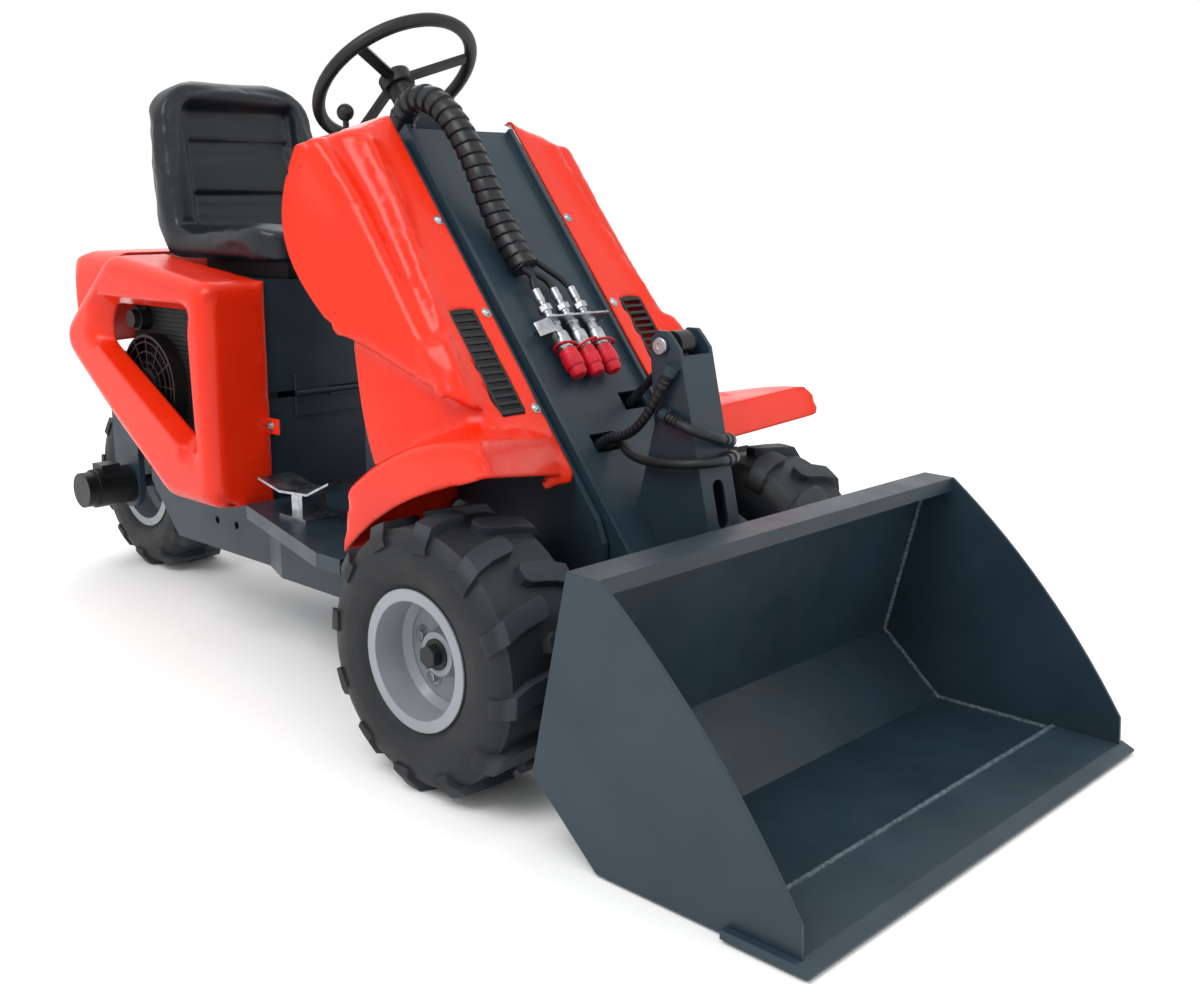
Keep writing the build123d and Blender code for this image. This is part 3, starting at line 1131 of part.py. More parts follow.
def main():
    os.makedirs("parts", exist_ok=True)
    one_tyre = tyre()
    one_rim = rim()
    left_tyre = wheel_place(TRACK_HALF) * one_tyre
    left_rim = wheel_place(TRACK_HALF) * one_rim
    save("front_tyre_left", left_tyre)
    save("front_tyre_right", mirrored(left_tyre))
    save("front_rim_left", left_rim)
    save("front_rim_right", mirrored(left_rim))
    save("rear_tyre", Pos(REAR_AXLE_X, 0, TYRE_R) * mirrored(one_tyre))
    save("rear_rim", Pos(REAR_AXLE_X, 0, TYRE_R) * mirrored(one_rim))
    save("wheel_motor_left", front_motor())
    save("wheel_motor_right", mirrored(front_motor()))
    save("frame", frame())
    save("boom_tower", tower())
    save("floor_boards", boards())
    save("rear_beam", rear_beam())
    save("rear_fork", rear_fork())
    save("rear_motor", rear_motor())
    save("boom", boom())
    save("tilt_mast", mast())
    lift_base = (LIFT_BASE_X, LIFT_BASE_Z)
    lift_top = lift_eye()
    tube = barrel(lift_base, lift_top, LIFT_BARREL_R, LIFT_BARREL_LENGTH, LIFT_EYE_R, LIFT_EYE_W, LIFT_PIN_R, 4)
    save("lift_barrel", hollow_barrel(tube, lift_base, lift_top, LIFT_ROD_R, LIFT_EYE_R + 20, LIFT_BARREL_LENGTH))
    save("lift_rod", rod(lift_base, lift_top, LIFT_ROD_R, LIFT_EYE_R + 24, LIFT_EYE_R - 4, LIFT_EYE_W, LIFT_PIN_R))
    tilt_base = (MAST_EAR_X, MAST_EAR_Z)
    tilt_top = (TILT_EYE_X, TILT_EYE_Z)
    tube = barrel(tilt_base, tilt_top, TILT_BARREL_R, TILT_BARREL_LENGTH, MAST_EAR_R - 3, TILT_EYE_W, TILT_PIN_R, 1)
    save("tilt_barrel", hollow_barrel(tube, tilt_base, tilt_top, TILT_ROD_R, TILT_BORE_START, TILT_BARREL_LENGTH))
    save("tilt_rod", rod(tilt_base, tilt_top, TILT_ROD_R, TILT_ROD_START, TILT_EYE_R, TILT_EYE_W, TILT_PIN_R))
    save("bucket", bucket())
    save("cutting_edge", cutting_edge())
    save("quick_coupler", coupler())
    left_shell = rear_shell()
    save("rear_shell_left", left_shell)
    save("rear_shell_right", mirrored(left_shell))
    save("rear_hood", rear_hood())
    save("seat_box", seat_box())
    save("seat_cover", seat_cover())
    save("engine", engine())
    save("oil_cooler", cooler())
    save("cooler_fan", cooler_fan())
    save("air_stub", air_stub())
    save("seat", seat())
    save("seat_rails", seat_rails())
    shell = front_shell()
    save("front_shell_left", shell)
    save("front_shell_right", mirrored(shell))
    grille = vent_grille()
    save("vent_grilles", [grille, mirrored(grille)])
    save("dash", dash())
    save("steering_column", column())
    save("steering_wheel", steering_wheel())
    save("levers", levers())
    save("pedal", pedal())
    save("couplings", couplings())
    save("dust_caps", dust_caps())
    save("hose_bundle", hose(bundle_route(), BUNDLE_R))
    save("tilt_hoses", tilt_hoses())


if __name__ == "__main__":
    main()
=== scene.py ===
"""Looks of a three-wheeled ride-on mini loader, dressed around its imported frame.

Lengths in the classes are millimetres from the front axle (x), the middle plane (y) and the
ground (z), as on the machine's drawing. Machine.at turns them into the frame's metres.
"""
import json
import logging
import math
from dataclasses import dataclass, field, replace
from enum import Enum
from typing import Iterable, Sequence

import bpy
from mathutils import Matrix, Vector

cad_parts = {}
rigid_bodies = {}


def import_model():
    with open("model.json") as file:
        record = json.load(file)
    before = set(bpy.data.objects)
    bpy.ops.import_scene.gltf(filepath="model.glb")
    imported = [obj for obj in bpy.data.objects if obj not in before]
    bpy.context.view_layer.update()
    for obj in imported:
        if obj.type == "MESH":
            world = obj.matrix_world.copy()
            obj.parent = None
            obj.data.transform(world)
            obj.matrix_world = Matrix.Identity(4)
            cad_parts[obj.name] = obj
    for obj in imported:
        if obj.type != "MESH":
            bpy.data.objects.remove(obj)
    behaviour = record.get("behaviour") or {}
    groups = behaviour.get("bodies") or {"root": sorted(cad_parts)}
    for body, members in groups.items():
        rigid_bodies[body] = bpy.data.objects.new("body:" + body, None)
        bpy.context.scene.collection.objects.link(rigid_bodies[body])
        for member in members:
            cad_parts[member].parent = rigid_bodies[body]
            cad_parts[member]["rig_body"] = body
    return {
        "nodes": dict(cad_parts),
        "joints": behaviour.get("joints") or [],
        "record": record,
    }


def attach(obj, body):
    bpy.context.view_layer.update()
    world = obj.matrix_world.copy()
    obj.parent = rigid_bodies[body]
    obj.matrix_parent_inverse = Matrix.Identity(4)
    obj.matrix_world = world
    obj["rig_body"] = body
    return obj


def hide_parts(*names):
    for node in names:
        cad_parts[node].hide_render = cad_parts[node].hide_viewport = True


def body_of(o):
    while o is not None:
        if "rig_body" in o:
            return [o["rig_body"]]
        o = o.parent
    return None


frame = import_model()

LOG = logging.getLogger("mini_loader")
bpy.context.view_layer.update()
MM = 0.001

Point = tuple[float, float, float]


def linear(colour: str) -> tuple[float, float, float, float]:
    """Turns an sRGB hex colour into linear light.

    Args:
        colour: Colour as "#RRGGBB".

    Returns:
        Linear red, green, blue and an alpha of 1.
    """
    parts = [int(colour[k:k + 2], 16) / 255 for k in (1, 3, 5)]
    light = [p / 12.92 if p <= 0.04045 else ((p + 0.055) / 1.055) ** 2.4 for p in parts]
    return (light[0], light[1], light[2], 1.0)


def per_metre(size_mm: float) -> float:
    """Scale of a texture whose features are size_mm wide."""
    return 1.0 / (size_mm * MM)


def add_node(tree: bpy.types.NodeTree, kind: str, settings: dict | None = None,
             links: dict | None = None) -> bpy.types.Node:
    """Adds one shader node with its settings and incoming links.

    Args:
        tree: Node tree that takes the node.
        kind: Blender's name of the node type.
        settings: Properties or input values by name.
        links: Output sockets by the name or number of the input that they feed.

    Returns:
        The new node.
    """
    node = tree.nodes.new(kind)
    for name, value in (settings or {}).items():
        if isinstance(name, str) and hasattr(node, name):
            setattr(node, name, value)
        else:
            node.inputs[name].default_value = value
    for socket, source in (links or {}).items():
        tree.links.new(source, node.inputs[socket])
    return node


class Slot(Enum):
    """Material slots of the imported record."""

    STEEL = "steel_paint"
    WEAR = "wear_steel"
    RIM = "rim_paint"
    TYRE = "tyre"
    SHELL = "shell"
    BLACK_STEEL = "black_steel"
    ROD = "rod"
    ENGINE = "engine"
    COOLER = "cooler"
    BLACK_PLASTIC = "black_plastic"
    SEAT = "seat"
    ZINC = "zinc"
    CAP = "cap"
    SLEEVE = "sleeve"


@dataclass(frozen=True)
class Finish:
    """A finish with mottled colour, uneven gloss, a fine grain and softly rounded edges.

    Attributes:
        name: Name of the real material and how its surface was made.
        colour: Main sRGB colour.
        tint: Second colour, in soft patches.
        tint_mm: Width of the patches.
        gloss: Lowest and highest roughness.
        gloss_mm: Width of the glossier and duller patches.
        grain_mm: Width of the surface grain.
        grain_um: Height of the surface grain in micrometres.
        metallic: 1 for bare metal.
        coat: Strength of a clear top layer.
        edge_mm: Radius that the edges seem to have.
        specular: Strength of the surface's own reflection.
    """

    name: str
    colour: str
    tint: str
    tint_mm: float = 220.0
    gloss: tuple[float, float] = (0.35, 0.5)
    gloss_mm: float = 60.0
    grain_mm: float = 1.2
    grain_um: float = 60.0
    metallic: float = 0.0
    coat: float = 0.0
    edge_mm: float = 2.0
    specular: float = 0.4

    def material(self) -> bpy.types.Material:
        """Builds the material once and returns it."""
        found = bpy.data.materials.get(self.name)
        if found:
            return found
        made = bpy.data.materials.new(self.name)
        made.use_nodes = True
        tree = made.node_tree
        shader = tree.nodes["Principled BSDF"]
        shader.inputs["Metallic"].default_value = self.metallic
        shader.inputs["Coat Weight"].default_value = self.coat
        shader.inputs["Coat Roughness"].default_value = 0.08
        shader.inputs["Specular IOR Level"].default_value = self.specular
        place = add_node(tree, "ShaderNodeTexCoord").outputs["Object"]
        tree.links.new(self.colour_source(tree, place), shader.inputs["Base Color"])
        tree.links.new(self.gloss_source(tree, place), shader.inputs["Roughness"])
        tree.links.new(self.relief_source(tree, place), shader.inputs["Normal"])
        return made

    def colour_source(self, tree: bpy.types.NodeTree, place: bpy.types.NodeSocket) -> bpy.types.NodeSocket:
        """Soft patches between the main colour and the tint."""
        cloud = add_node(tree, "ShaderNodeTexNoise", {"Scale": per_metre(self.tint_mm), "Detail": 4.0},
                         {"Vector": place})
        ramp = add_node(tree, "ShaderNodeValToRGB", None, {"Fac": cloud.outputs["Fac"]})
        ramp.color_ramp.elements[0].position = 0.38
        ramp.color_ramp.elements[0].color = linear(self.colour)
        ramp.color_ramp.elements[1].position = 0.68
        ramp.color_ramp.elements[1].color = linear(self.tint)
        return ramp.outputs["Color"]

    def gloss_source(self, tree: bpy.types.NodeTree, place: bpy.types.NodeSocket) -> bpy.types.NodeSocket:
        """Roughness that wanders between the two limits."""
        cloud = add_node(tree, "ShaderNodeTexNoise", {"Scale": per_metre(self.gloss_mm), "Detail": 5.0},
                         {"Vector": place})
        low, high = self.gloss
        span = add_node(tree, "ShaderNodeMapRange", {"From Min": 0.3, "From Max": 0.7, "To Min": low, "To Max": high},
                        {"Value": cloud.outputs["Fac"]})
        return span.outputs["Result"]

    def relief_source(self, tree: bpy.types.NodeTree, place: bpy.types.NodeSocket) -> bpy.types.NodeSocket:
        """Fine grain over softly rounded edges."""
        edge = add_node(tree, "ShaderNodeBevel", {"samples": 4, "Radius": self.edge_mm * MM})
        height = self.height_source(tree, place)
        bump = add_node(tree, "ShaderNodeBump", {"Strength": 1.0, "Distance": self.grain_um * 1e-6},
                        {"Height": height, "Normal": edge.outputs["Normal"]})
        return bump.outputs["Normal"]

    def height_source(self, tree: bpy.types.NodeTree, place: bpy.types.NodeSocket) -> bpy.types.NodeSocket:
        """Even grain of the surface."""
        grain = add_node(tree, "ShaderNodeTexNoise", {"Scale": per_metre(self.grain_mm), "Detail": 2.0},
                         {"Vector": place})
        return grain.outputs["Fac"]


@dataclass(frozen=True)
class Finned(Finish):
    """Stacked cooler fins: gaps painted near-black as painted shade between the fins' paler edges, fin_mm apart in
    height.
    """

    fin_mm: float = 5.0

    def colour_source(self, tree: bpy.types.NodeTree, place: bpy.types.NodeSocket) -> bpy.types.NodeSocket:
        """Rows of fins with painted shade in the gaps, drawn coarser than real ones so that they show."""
        rows = add_node(tree, "ShaderNodeTexWave", {"bands_direction": "Z", "Scale": per_metre(self.fin_mm) / 6.2832,
                                                    "Distortion": 0.0}, {"Vector": place})
        ramp = add_node(tree, "ShaderNodeValToRGB", None, {"Fac": rows.outputs["Fac"]})
        ramp.color_ramp.elements[0].position = 0.35
        ramp.color_ramp.elements[0].color = linear(self.tint)
        ramp.color_ramp.elements[1].position = 0.7
        ramp.color_ramp.elements[1].color = linear(self.colour)
        return ramp.outputs["Color"]


@dataclass(frozen=True)
class TyreRubber(Finish):
    """Rubber with the lugs' tops painted paler than the grooves, a painted highlight, and moulded rings on its
    sidewalls.

    Attributes:
        axle: Frame X and Z of the wheel's axle in millimetres.
        groove: Radius in millimetres where the lugs' tops, and their painted highlight, begin.
        rings: Radii in millimetres of the sidewall's raised rings.
    """

    axle: tuple[float, float] = (532.5, 236.0)
    groove: float = 214.0
    rings: tuple[float, ...] = (126.0, 133.0, 166.0)

    def radius_source(self, tree: bpy.types.NodeTree, place: bpy.types.NodeSocket) -> bpy.types.NodeSocket:
        """Distance from the axle in metres."""
        axle = (self.axle[0] * MM, 0, self.axle[1] * MM)
        centre = add_node(tree, "ShaderNodeVectorMath", {"operation": "SUBTRACT", 1: axle}, {0: place})
        flat = add_node(tree, "ShaderNodeVectorMath", {"operation": "MULTIPLY", 1: (1.0, 0.0, 1.0)},
                        {0: centre.outputs[0]})
        return add_node(tree, "ShaderNodeVectorMath", {"operation": "LENGTH"}, {0: flat.outputs[0]}).outputs["Value"]

    def colour_source(self, tree: bpy.types.NodeTree, place: bpy.types.NodeSocket) -> bpy.types.NodeSocket:
        """Dark carcass, lug tops painted paler: painted highlight."""
        span = add_node(tree, "ShaderNodeMapRange", {"From Min": self.groove * MM, "From Max": (self.groove + 9) * MM},
                        {"Value": self.radius_source(tree, place)})
        return add_node(tree, "ShaderNodeMix", {"data_type": "RGBA", 6: linear(self.colour), 7: linear(self.tint)},
                        {0: span.outputs["Result"]}).outputs[2]

    def height_source(self, tree: bpy.types.NodeTree, place: bpy.types.NodeSocket) -> bpy.types.NodeSocket:
        """Fine grain and the sidewall's rings."""
        height = add_node(tree, "ShaderNodeMath", {"operation": "MULTIPLY", 1: 0.12},
                          {0: super().height_source(tree, place)}).outputs[0]
        radius = self.radius_source(tree, place)
        for ring in self.rings:
            near = add_node(tree, "ShaderNodeMath", {"operation": "COMPARE", 1: ring * MM, 2: 2.2 * MM}, {0: radius})
            height = add_node(tree, "ShaderNodeMath", {"operation": "ADD"}, {0: height, 1: near.outputs[0]}).outputs[0]
        return height


class Finishes:
    """Every finish on the machine, by what it is made of."""

    # Roto-moulded polyethylene: waxy gloss, slow colour drift and a faint orange peel
    SHELL = Finish("moulded_red_polyethylene", "#E02A0A", "#D82406", gloss=(0.22, 0.32), grain_mm=9.0,
                   grain_um=60.0, coat=0.12, edge_mm=9.0, specular=0.28)
    # Powder coat on plate: satin, with the small bumps of the baked powder
    STEEL = Finish("powder_coated_plate", "#21323D", "#1C2B35", gloss=(0.34, 0.46), grain_mm=2.2, grain_um=80.0)
    # Powder coat that soil has rubbed dull
    WEAR = Finish("rubbed_powder_coat", "#22323C", "#293A44", tint_mm=180.0, gloss=(0.4, 0.52), grain_um=80.0)
    # Paint over a welded seam, drawn paler than the plate and flecked paler still: painted highlight on the ripples
    WELD = Finish("weld_bead_painted_highlight", "#33424C", "#5C6A73", tint_mm=9.0, gloss=(0.25, 0.4), edge_mm=0.5)
    # Enamel on pressed steel
    RIM = Finish("enamelled_wheel_steel", "#8B9096", "#80858B", gloss=(0.3, 0.42), grain_mm=3.0, coat=0.2, edge_mm=3.0)
    # Vulcanised rubber: blue-black, its lugs' tops painted paler as a painted highlight
    TYRE = TyreRubber("vulcanised_tyre_rubber", "#121518", "#252B31", gloss=(0.5, 0.66), grain_mm=2.5,
                      grain_um=1100.0, edge_mm=4.0)
    TYRE_TAIL = TyreRubber("vulcanised_tail_tyre_rubber", "#121518", "#252B31", gloss=(0.5, 0.66), grain_mm=2.5,
                           grain_um=1100.0, edge_mm=4.0, axle=(-1077.5, 236.0))
    # Enamel on small steel parts: deep black with a soft shine
    BLACK_STEEL = Finish("black_enamelled_steel", "#0F1113", "#16181A", gloss=(0.3, 0.48))
    # Hard chrome, ground round: sharp long highlights
    ROD = Finish("ground_hard_chrome", "#C9CCD0", "#BFC3C8", gloss=(0.08, 0.16), metallic=1.0, grain_um=4.0)
    # Sand-cast aluminium: grainy and dull
    ENGINE = Finish("cast_aluminium_engine", "#4A4C4E", "#3C3E40", gloss=(0.5, 0.65), metallic=0.8, grain_um=200.0)
    # Blackened fins: fine rows behind the window, the gaps between them painted darker as painted shade
    COOLER = Finned("blackened_cooler_fins", "#24272A", "#070808", gloss=(0.5, 0.65), metallic=0.3)
    # Injection-moulded plastic with an even spark-eroded grain
    PLASTIC = Finish("grained_black_plastic", "#0D0F11", "#131517", gloss=(0.4, 0.52), grain_mm=1.6, grain_um=90.0)
    # Vinyl cover over foam: soft blue-black sheen
    VINYL = Finish("padded_black_vinyl", "#0C1319", "#10181F", gloss=(0.3, 0.42), grain_mm=3.2,
                   grain_um=120.0, edge_mm=1.0)
    # Zinc plate: cool grey with a mottled spangle
    ZINC = Finish("zinc_plated_steel", "#B9BDC0", "#979DA2", tint_mm=18.0, gloss=(0.22, 0.4), metallic=1.0,
                  grain_um=30.0, edge_mm=1.0)
    # Soft rubber caps, bright against the steel
    CAP = Finish("crimson_rubber", "#C80A28", "#B00820", tint_mm=30.0, gloss=(0.35, 0.5), edge_mm=2.5)
    # Extruded rubber cover of a pressure hose
    HOSE = Finish("black_rubber_hose", "#101317", "#171B1F", tint_mm=30.0, gloss=(0.42, 0.58),
                  grain_um=80.0, edge_mm=0.5)
    # Spiral plastic wrap over the hoses
    SLEEVE = Finish("black_hose_wrap", "#0F1215", "#16191D", tint_mm=40.0, gloss=(0.32, 0.46), edge_mm=0.5)
    # White paper sweep
    FLOOR = Finish("white_paper_floor", "#FFFFFF", "#FEFEFE", tint_mm=900.0, gloss=(0.9, 0.95),
                   edge_mm=0.5, specular=0.0)


NODE_FINISH: dict[str, Finish] = {
    "steel_paint": Finishes.STEEL,
    "wear_steel": Finishes.WEAR,
    "rim_paint": Finishes.RIM,
    "tyre": Finishes.TYRE,
    "shell": Finishes.SHELL,
    "black_steel": Finishes.BLACK_STEEL,
    "rod": Finishes.ROD,
    "engine": Finishes.ENGINE,
    "cooler": Finishes.COOLER,
    "black_plastic": Finishes.PLASTIC,
    "seat": Finishes.VINYL,
    "zinc": Finishes.ZINC,
    "cap": Finishes.CAP,
    "sleeve": Finishes.SLEEVE,
}


class Machine:
    """Places on the machine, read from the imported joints."""

    BOOM_ANGLE = math.radians(51.7)

    def __init__(self) -> None:
        places = {j["name"]: Vector(j["pos_m"]) for j in frame["joints"] if "pos_m" in j}
        self.axle_x = places["front_left_spin"].x
        self.boom_pin = places["boom_lift"]

    def at(self, x: float, y: float, z: float) -> Vector:
        """Frame point of a drawing point in millimetres."""
        return Vector((self.axle_x + x * MM, y * MM, z * MM))

    def on_boom(self, along: float, out: float, y: float) -> Vector:
        """Frame point at a distance down the boom, out from its pivot line and across.

        Args:
            along: Millimetres down the boom from its pivot.
            out: Millimetres out from the line through the pivot.
            y: Millimetres to the left of the middle plane.

        Returns:
            The point in metres.
        """
        cos, sin = math.cos(self.BOOM_ANGLE), math.sin(self.BOOM_ANGLE)
        step = Vector((along * cos + out * sin, y, -along * sin + out * cos))
        return Vector((self.boom_pin.x, 0.0, self.boom_pin.z)) + step * MM


class Bench:
    """Shared handwork on new pieces."""

    SHARP = math.radians(40.0)
    MERGE = 0.01 * MM
    PASSES = 5

    @staticmethod
    def deselect() -> None:
        """Leaves edit mode and deselects everything."""
        if bpy.context.object and bpy.context.object.mode != "OBJECT":
            bpy.ops.object.mode_set(mode="OBJECT")
        bpy.ops.object.select_all(action="DESELECT")

    @classmethod
    def activate(cls, piece: bpy.types.Object) -> None:
        """Selects one piece alone and makes it active."""
        cls.deselect()
        piece.select_set(True)
        bpy.context.view_layer.objects.active = piece

    @classmethod
    def edit(cls, piece: bpy.types.Object) -> None:
        """Opens one piece in edit mode with all of it selected."""
        cls.activate(piece)
        bpy.ops.object.mode_set(mode="EDIT")
        bpy.ops.mesh.select_mode(type="VERT")
        bpy.ops.mesh.select_all(action="SELECT")

    @classmethod
    def done(cls) -> None:
        """Back to object mode."""
        bpy.ops.object.mode_set(mode="OBJECT")

    @classmethod
    def smooth(cls, piece: bpy.types.Object, degrees: float = 35.0) -> None:
        """Shades a piece smooth across edges flatter than an angle."""
        cls.activate(piece)
        bpy.ops.object.shade_smooth_by_angle(angle=math.radians(degrees))

    @classmethod
    def copy_of(cls, node: str, name: str) -> bpy.types.Object:
        """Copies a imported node's mesh to a new piece and merges its loose triangles.

        Args:
            node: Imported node.
            name: Name of the new piece.

        Returns:
            The new piece, at the origin.
        """
        piece = bpy.data.objects.new(name, frame["nodes"][node].data.copy())
        bpy.context.scene.collection.objects.link(piece)
        cls.activate(piece)
        bpy.ops.mesh.customdata_custom_splitnormals_clear()
        cls.edit(piece)
        bpy.ops.mesh.remove_doubles(threshold=cls.MERGE)
        cls.done()
        return piece

    @classmethod
    def turned(cls, profile: Sequence[tuple[float, float]], name: str, steps: int = 28) -> bpy.types.Object:
        """Turns a profile about the Z axis.

        Args:
            profile: Radius and height of each corner in millimetres.
            name: Name of the piece.
            steps: Flats around the axis.

        Returns:
            The turned piece at the origin.
        """
        cls.deselect()
        bpy.ops.mesh.primitive_plane_add(size=MM)
        piece = bpy.context.object
        piece.name = name
        cls.edit(piece)
        bpy.ops.mesh.merge(type="CENTER")
        bpy.ops.transform.translate(value=(profile[0][0] * MM, 0, profile[0][1] * MM))
        for before, after in zip(profile, profile[1:]):
            step = ((after[0] - before[0]) * MM, 0, (after[1] - before[1]) * MM)
            bpy.ops.mesh.extrude_region_move(TRANSFORM_OT_translate={"value": step})
        bpy.ops.mesh.select_all(action="SELECT")
        bpy.ops.mesh.spin(steps=steps, angle=2 * math.pi, center=(0, 0, 0), axis=(0, 0, 1))
        bpy.ops.mesh.select_all(action="SELECT")
        bpy.ops.mesh.remove_doubles(threshold=cls.MERGE)
        bpy.ops.mesh.normals_make_consistent(inside=False)
        cls.done()
        cls.smooth(piece)
        return piece

    @classmethod
    def hexagon(cls, across: float, low: float, high: float, name: str) -> bpy.types.Object:
        """Six-sided nut or head with its upper edges bevelled.

        Args:
            across: Width across the flats in millimetres.
            low: Height of its lower face.
            high: Height of its upper face.
            name: Name of the piece.

        Returns:
            The head at the origin, standing along Z.
        """
        cls.deselect()
        bpy.ops.mesh.primitive_cylinder_add(vertices=6, radius=across / math.sqrt(3) * MM,
                                            depth=(high - low) * MM)
        piece = bpy.context.object
        piece.name = name
        cls.edit(piece)
        bpy.ops.transform.translate(value=(0, 0, (low + high) / 2 * MM))
        bpy.ops.mesh.bevel(offset=0.07 * across * MM, segments=2, affect="EDGES")
        cls.done()
        return piece

    @classmethod
    def slab(cls, size: Point, bevel: float, name: str) -> bpy.types.Object:
        """Plate or block with bevelled edges.

        Args:
            size: Lengths along X, Y and Z in millimetres.
            bevel: Width of the bevel.
            name: Name of the piece.

        Returns:
            The block, centred on the origin.
        """
        cls.deselect()
        bpy.ops.mesh.primitive_cube_add(size=1.0)
        piece = bpy.context.object
        piece.name = name
        cls.edit(piece)
        bpy.ops.transform.resize(value=tuple(length * MM for length in size))
        bpy.ops.mesh.bevel(offset=bevel * MM, segments=3, affect="EDGES")
        cls.done()
        cls.smooth(piece)
        return piece

    @classmethod
    def joined(cls, pieces: Sequence[bpy.types.Object], name: str) -> bpy.types.Object:
        """Joins pieces to one."""
        cls.activate(pieces[0])
        for piece in pieces:
            piece.select_set(True)
        bpy.ops.object.join()
        pieces[0].name = name
        return pieces[0]

    @staticmethod
    def facing(place: Vector, way: Vector) -> Matrix:
        """Place of a model whose Z axis is to point a way."""
        turn = Vector((0, 0, 1)).rotation_difference(way.normalized()).to_matrix().to_4x4()
        return Matrix.Translation(place) @ turn

    @classmethod
    def fair(cls, piece: bpy.types.Object, longest: float, rounds: int) -> None:
        """Divides a shell's long facets and evens out the bends between them, away from its thin rims.

        Args:
            piece: The shell.
            longest: Longest edge that is left undivided, in millimetres.
            rounds: Rounds of smoothing.
        """
        mesh = piece.data
        for _ in range(cls.PASSES):
            cls.edit(piece)
            bpy.ops.mesh.quads_convert_to_tris()
            bpy.ops.mesh.select_mode(type="EDGE")
            bpy.ops.mesh.select_all(action="DESELECT")
            cls.done()
            ends = [v.co for v in mesh.vertices]
            for edge in mesh.edges:
                a, b = edge.vertices
                edge.select = (ends[a] - ends[b]).length > longest * MM
            bpy.ops.object.mode_set(mode="EDIT")
            bpy.ops.mesh.subdivide(number_cuts=1)
            cls.done()
        beside: dict[tuple[int, int], list[Vector]] = {}
        for face in mesh.polygons:
            for key in face.edge_keys:
                beside.setdefault(key, []).append(face.normal)
        bent = {key for key, sides in beside.items()
                if len(sides) != 2 or sides[0].angle(sides[1], 0.0) > cls.SHARP}
        sharp = {v for key in bent for v in key}
        rim = {v for key in beside if key not in bent and sharp.issuperset(key)
               and (mesh.vertices[key[0]].co - mesh.vertices[key[1]].co).length < 1.3 * longest * MM for v in key}
        group = piece.vertex_groups.new(name="soft")
        group.add([v.index for v in mesh.vertices if v.index not in rim], 1.0, "REPLACE")
        cls.activate(piece)
        even = piece.modifiers.new("even", "SMOOTH")
        even.vertex_group = group.name
        even.factor = 0.5
        even.iterations = rounds
        bpy.ops.object.modifier_apply(modifier=even.name)
        piece.vertex_groups.clear()

    @classmethod
    def bolt(cls, across: float, name: str) -> bpy.types.Object:
        """Hexagon head on a washer, standing on the XY plane."""
        rim, thick = 0.95 * across, 0.1 * across
        washer = cls.turned([(0, 0), (rim, 0), (rim, thick), (0, thick)], name, 20)
        return cls.joined([washer, cls.hexagon(across, 0.08 * across, 0.66 * across, name + "_head")], name)

    @classmethod
    def copies(cls, model: bpy.types.Object, places: Iterable[Matrix], name: str) -> bpy.types.Object:
        """Copies a model to each place and joins the copies to one piece.

        Args:
            model: Piece at the origin, removed afterwards.
            places: Where each copy goes.
            name: Name of the joined piece.

        Returns:
            The joined piece, with its place in its mesh.
        """
        made = []
        for place in places:
            copy = model.copy()
            copy.data = model.data.copy()
            copy.data.transform(place)
            bpy.context.scene.collection.objects.link(copy)
            made.append(copy)
        bpy.data.objects.remove(model)
        return cls.joined(made, name)

    @classmethod
    def hand_over(cls, piece: bpy.types.Object, body: str, finish: Finish, slot: Slot,
                  replaced: Sequence[str] = ()) -> bpy.types.Object:
        """Gives a piece its finish and its body, and reports it.

        Args:
            piece: The finished piece, at the origin.
            body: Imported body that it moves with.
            finish: Its finish.
            slot: Its slot in the record; not used.
            replaced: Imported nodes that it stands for.

        Returns:
            The piece.
        """
        piece.data.materials.clear()
        piece.data.materials.append(finish.material())
        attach(piece, body)
        if replaced:
            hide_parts(*replaced)
        LOG.info("%s rides on %s in %s", piece.name, body, finish.name)
        return piece


